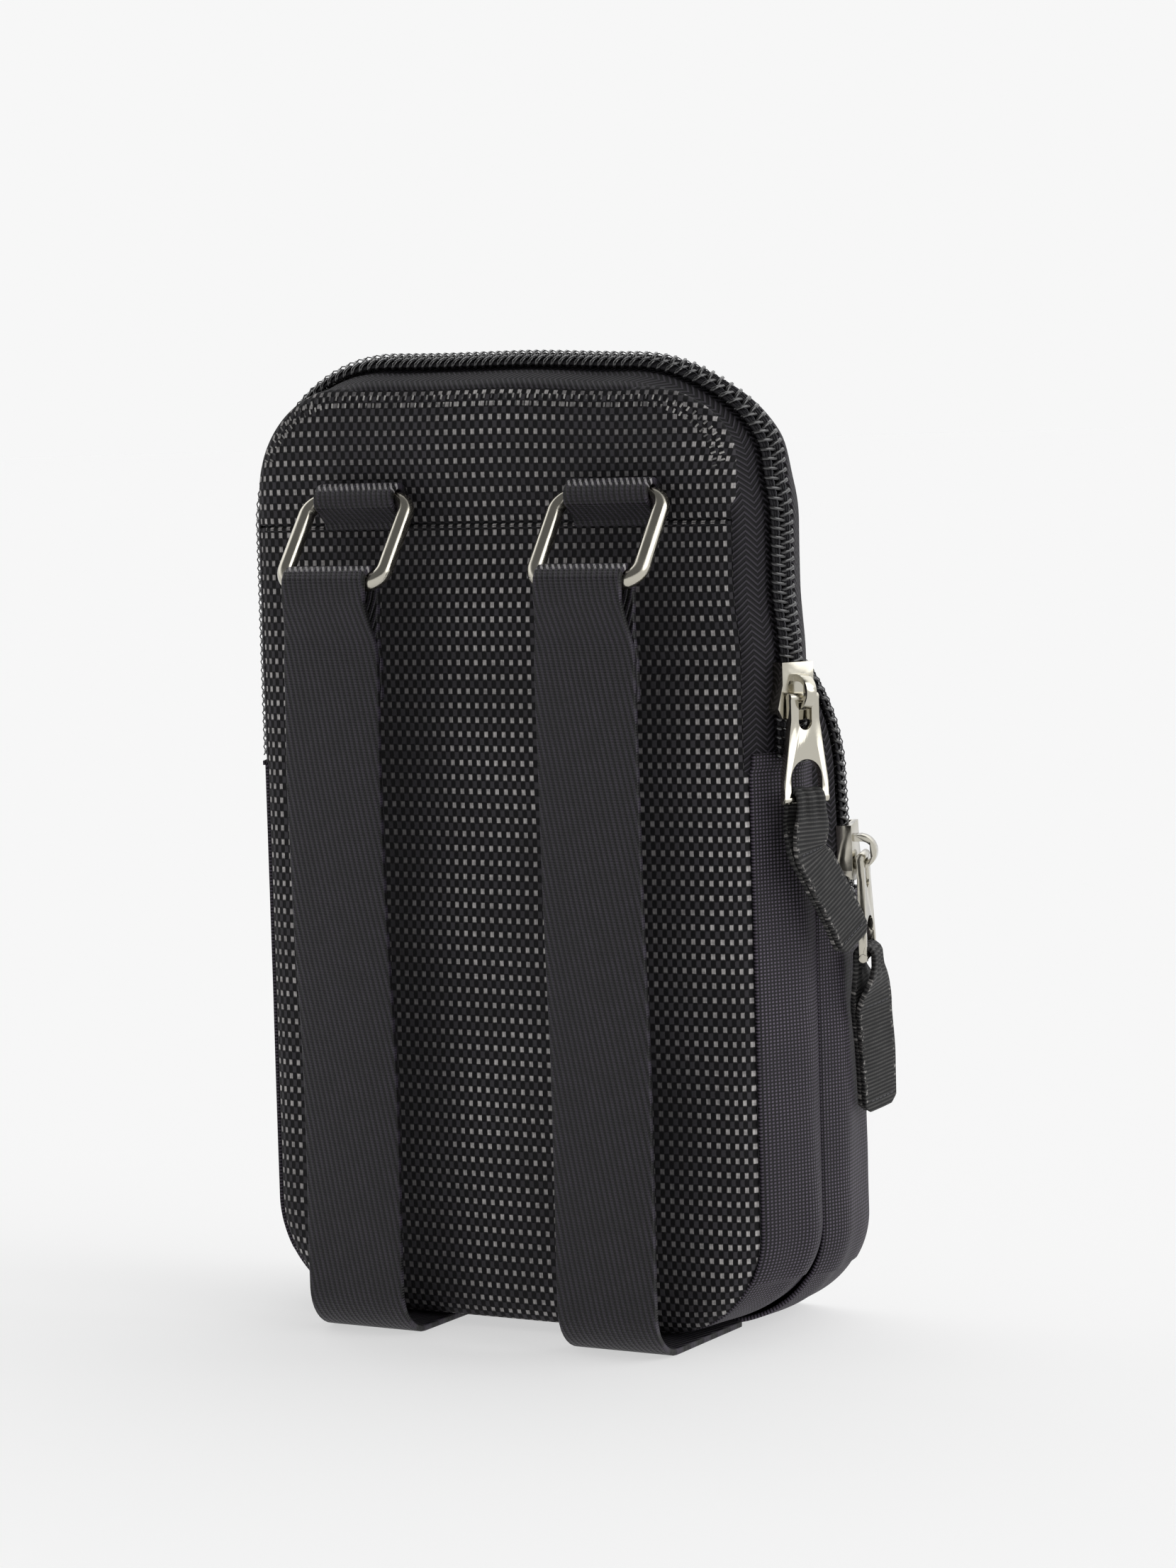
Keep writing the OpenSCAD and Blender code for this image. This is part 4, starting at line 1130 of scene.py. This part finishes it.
FALL = math.atan((SEAM_Y - POCKET_MIDDLE[0]) * (1 - POCKET["taper"]) / TAPER_RUN)
SLIDERS = {"main": slider_frame(MAIN_MIDDLE, MAIN_TURN, SLIDER_Z["main"], 0.0),
           "pocket": slider_frame(POCKET_MIDDLE, POCKET_TURN, SLIDER_Z["pocket"], FALL)}
PIN_Z, FOOT_Y = 4.35, -19.5    # the tab's height over the tape, and its lower bar
RIBBON_L, RIBBON_W, RIBBON_T = 30.5, 8.5, 1.0
NECK_HALF = 3.1                # half the width where the tab pinches it
LOOP_R = 1.6                   # middle of the ribbon round the tab's lower bar
LEAN = {"main": math.radians(32), "pocket": math.radians(8)}
BEND = {"main": 9.0, "pocket": 3.0}   # how far below the bar the ribbon starts to lean
TWIST = {"main": math.radians(10), "pocket": math.radians(-36)}


def ribbon_points():
    """The fold goes over the bar: Y along the ribbon, Z out of it."""
    r = LOOP_R
    front = [(-RIBBON_L, 0.62), (-20.0, 0.62), (-11.0, 0.66), (-7.0, 1.1), (-4.0, 1.6), (-2.0, 1.6)]
    fold = [(r * math.sin(math.radians(a)), r * math.cos(math.radians(a)))
            for a in range(0, 181, 15)]
    return front + fold + [(y, -w) for y, w in reversed(front)]


RIBBON_SEED = {"main": 2.4, "pocket": 8.1}
RIBBON_LINE = ribbon_points()
RIBBON_LENGTHS = measured(RIBBON_LINE)
RIBBON_TOTAL = RIBBON_LENGTHS[-1]
print(f"a ribbon is {RIBBON_TOTAL:.0f} mm long when it is unfolded")


def ribbon_place(where):
    seed = RIBBON_SEED[where]
    frame_of = SLIDERS[where]
    lean = Matrix.Rotation(LEAN[where], 4, "Z")
    pivot = Vector((0, -BEND[where], 0))
    twist = TWIST[where]

    def place(u, v):
        s = RIBBON_TOTAL * u
        y, w = at_length(RIBBON_LINE, RIBBON_LENGTHS, s)
        below = ramp(-y, 1.0, 6.5)
        half = NECK_HALF + (RIBBON_W / 2 - NECK_HALF) * below
        chamfer = max(0.0, 1.4 - (y + RIBBON_L))
        x = (2 * v - 1) * (half - chamfer)
        gather = 0.3 * math.sin(v * math.pi * 5) * (1 - below) * (1 if w > 0 else -1)
        wave = noise.noise(Vector((y / 8, x / 8, seed))) * 0.5 * below
        curl = 0.05 * (y + 12) ** 2 / 20 * below if y < -12 else 0.0
        point = Vector((x, y, w + gather + wave - curl))
        turn = Matrix.Rotation(twist * ramp(-y, 0, 11), 4, "Y")
        point = turn @ point
        if y < pivot.y + 2:
            bent = lean @ (point - pivot) + pivot
            point = point.lerp(bent, ramp(-y, BEND[where] - 2, BEND[where] + 4))
        local = Vector((point.x, FOOT_Y + point.y, PIN_Z + point.z))
        return frame_of @ local, (x, s)

    return place


for where in ("main", "pocket"):
    piece = keep(f"{where}_ribbon_fold", cloth(90, 10, ribbon_place(where)), grosgrain,
                 body=f"{where}_ribbon", stands_for=[f"{where}_ribbon"])
    flat_band(piece, RIBBON_T, edge=0.2)

# %% [markdown]
# Two rows of short stitches hold each folded ribbon, one near its neck and one near its end.
# They are cords that lie on the ribbon, because a painted line would have no height.

# %% Stitches across the ribbons
STITCH_ROWS, STITCH_R = (9.5, RIBBON_L - 2.2), 0.16   # distances below the bar, and radius


def ribbon_stitches(where):
    """Short stitches on the face of the fold."""
    place = ribbon_place(where)
    lines = []
    for depth in STITCH_ROWS:
        for k in range(6):
            u = (RIBBON_L - depth) / RIBBON_TOTAL
            ends = [place(u, 0.14 + 0.12 * k + d)[0] for d in (0.0, 0.045, 0.09)]
            out = SLIDERS[where].to_3x3() @ Vector((0, 0, RIBBON_T / 2 + 0.05))
            lines.append([end + out for end in ends])
    return lines


for where in ("main", "pocket"):
    cords(f"{where}_ribbon_stitches", ribbon_stitches(where), STITCH_R, thread,
          body=f"{where}_ribbon")

# %% [markdown]
# ## The front and the inside
# The pocket's front panel is the same dobby cloth. It isn't in the photograph, so it is plain.
# Behind it is the front wall of the main compartment, which spills out to meet both gussets.
# Both are panels like the back, with less swell, because no foam fills them.

# %% Front panels
def front_swell(x, z, inside):
    drift = noise.noise(Vector((x / 30, z / 24, 12.0))) * 0.8
    return ramp(inside, 0, 9) * (1.2 * ramp(inside, 0, 30) + drift) - 0.6


front = keep("pocket_front_cloth", panel(POCKET, POCKET["floor"], POCKET["top"], FRONT_Y, -1,
                                         front_swell),
             dobby, stands_for=["pocket_front_panel"])
soften(thicken(front, CLOTH_T))


def wall_swell(x, z, inside):
    return 0.0


inner = keep("main_front_cloth", panel(MAIN, MAIN["floor"], MAIN["top"], SEAM_Y + 0.6, -1,
                                       wall_swell, roll=2.0, drop=0.4, spill=3.5),
             dobby, stands_for=["main_front_panel"])
thicken(inner, CLOTH_T)

# %% [markdown]
# Each lining is a bag with its mouth along the zip. Binding tape is folded over the raw seams
# inside. They show only when a zip opens, so plain walks round the outline are enough for them.
# The foam lies behind the back cloth.

# %% Linings, bindings and foam
def bag(body, y0, y1, inset):
    """A closed bag with its mouth cut open along the zip."""
    def place(u, v):
        s = around(body) * u
        if v < 0.3:
            y, k = y0, v / 0.3
        elif v > 0.7:
            y, k = y1, (1 - v) / 0.3
        else:
            y, k = y0 + (y1 - y0) * (v - 0.3) / 0.4, 1.0
        x, z, nx, nz = rim(body, s)
        x, z = x - nx * inset, z - nz * inset
        mid = (body["floor"] + body["top"]) / 2
        x, z = x * k, mid + (z - mid) * k
        sink = noise.noise(Vector((x / 25, y / 10, z / 25))) * 0.25
        deep = SEAM_Y + (y + sink - SEAM_Y) * share(body, z)
        return settle((x, deep, z)), (x, z)

    bm = cloth(160, 20, place)
    lips = 1.4                 # cloth left standing beside the mouth
    mouth = [f for f in bm.faces
             if f.calc_center_median().z > body["end"] * MM and abs(f.normal.y) < 0.5
             and (y0 + lips) * MM < f.calc_center_median().y < (y1 - lips) * MM]
    bmesh.ops.delete(bm, geom=mouth, context="FACES")
    return bm


def seam_tape(body, y0, y1, bulge, inset):
    def place(u, v):
        a = 2 * math.pi * v
        y = (y0 + y1) / 2 + (y1 - y0) / 2 * math.cos(a)
        return wall(body, around(body) * u, y, bulge, inset + 0.9 + 0.85 * math.sin(a)), (u, v)

    return cloth(200, 8, place)


COMPARTMENTS = (("main", MAIN, (4.4, 16.9), (18.2, 19.8, 0)),
                ("pocket", POCKET, (-18.6, 1.6), (-20.9, -19.3, 1.2)))
SEWN_IN = 1.6                  # the bag lies this far inside the outline
for where, body, bag_at, _ in COMPARTMENTS:
    piece = keep(f"{where}_lining_bag", bag(body, *bag_at, SEWN_IN), lining,
                 stands_for=[f"{where}_lining"])
    thicken(piece, LINING_T)
for where, body, _, tape_at in COMPARTMENTS:
    keep(f"{where}_binding_tape", seam_tape(body, *tape_at, 1.5), binding,
         stands_for=[f"{where}_binding"])


def foam_swell(x, z, inside):
    return 0.35 * ramp(inside, 0, 25)


pad = keep("back_foam", panel(MAIN, MAIN["floor"] + 3.7, MAIN["top"] - 3.7, 19.7, 1, foam_swell,
                              roll=6.0, drop=0.8), foam, stands_for=["back_padding"])
thicken(pad, FOAM_T)

# %% [markdown]
# ## Leave no CAD node bare
# Two CAD nodes show as they are, the rings. Every other node is hidden behind its own piece, and
# it still gets the finish of its slot.

# %% Finish of the hidden nodes
BY_SLOT = {"dobby_cloth": dobby, "side_nylon": side_nylon, "zip_tape": zip_tape,
           "zip_coil": zip_coil, "nickel": nickel, "grosgrain": grosgrain, "webbing": webbing,
           "lining": lining, "foam": foam, "binding": binding}
for row in frame["record"]["subparts"]:
    node = frame["nodes"][row["node"]]
    node.data.materials.clear()
    node.data.materials.append(BY_SLOT[row["material_slot"]])
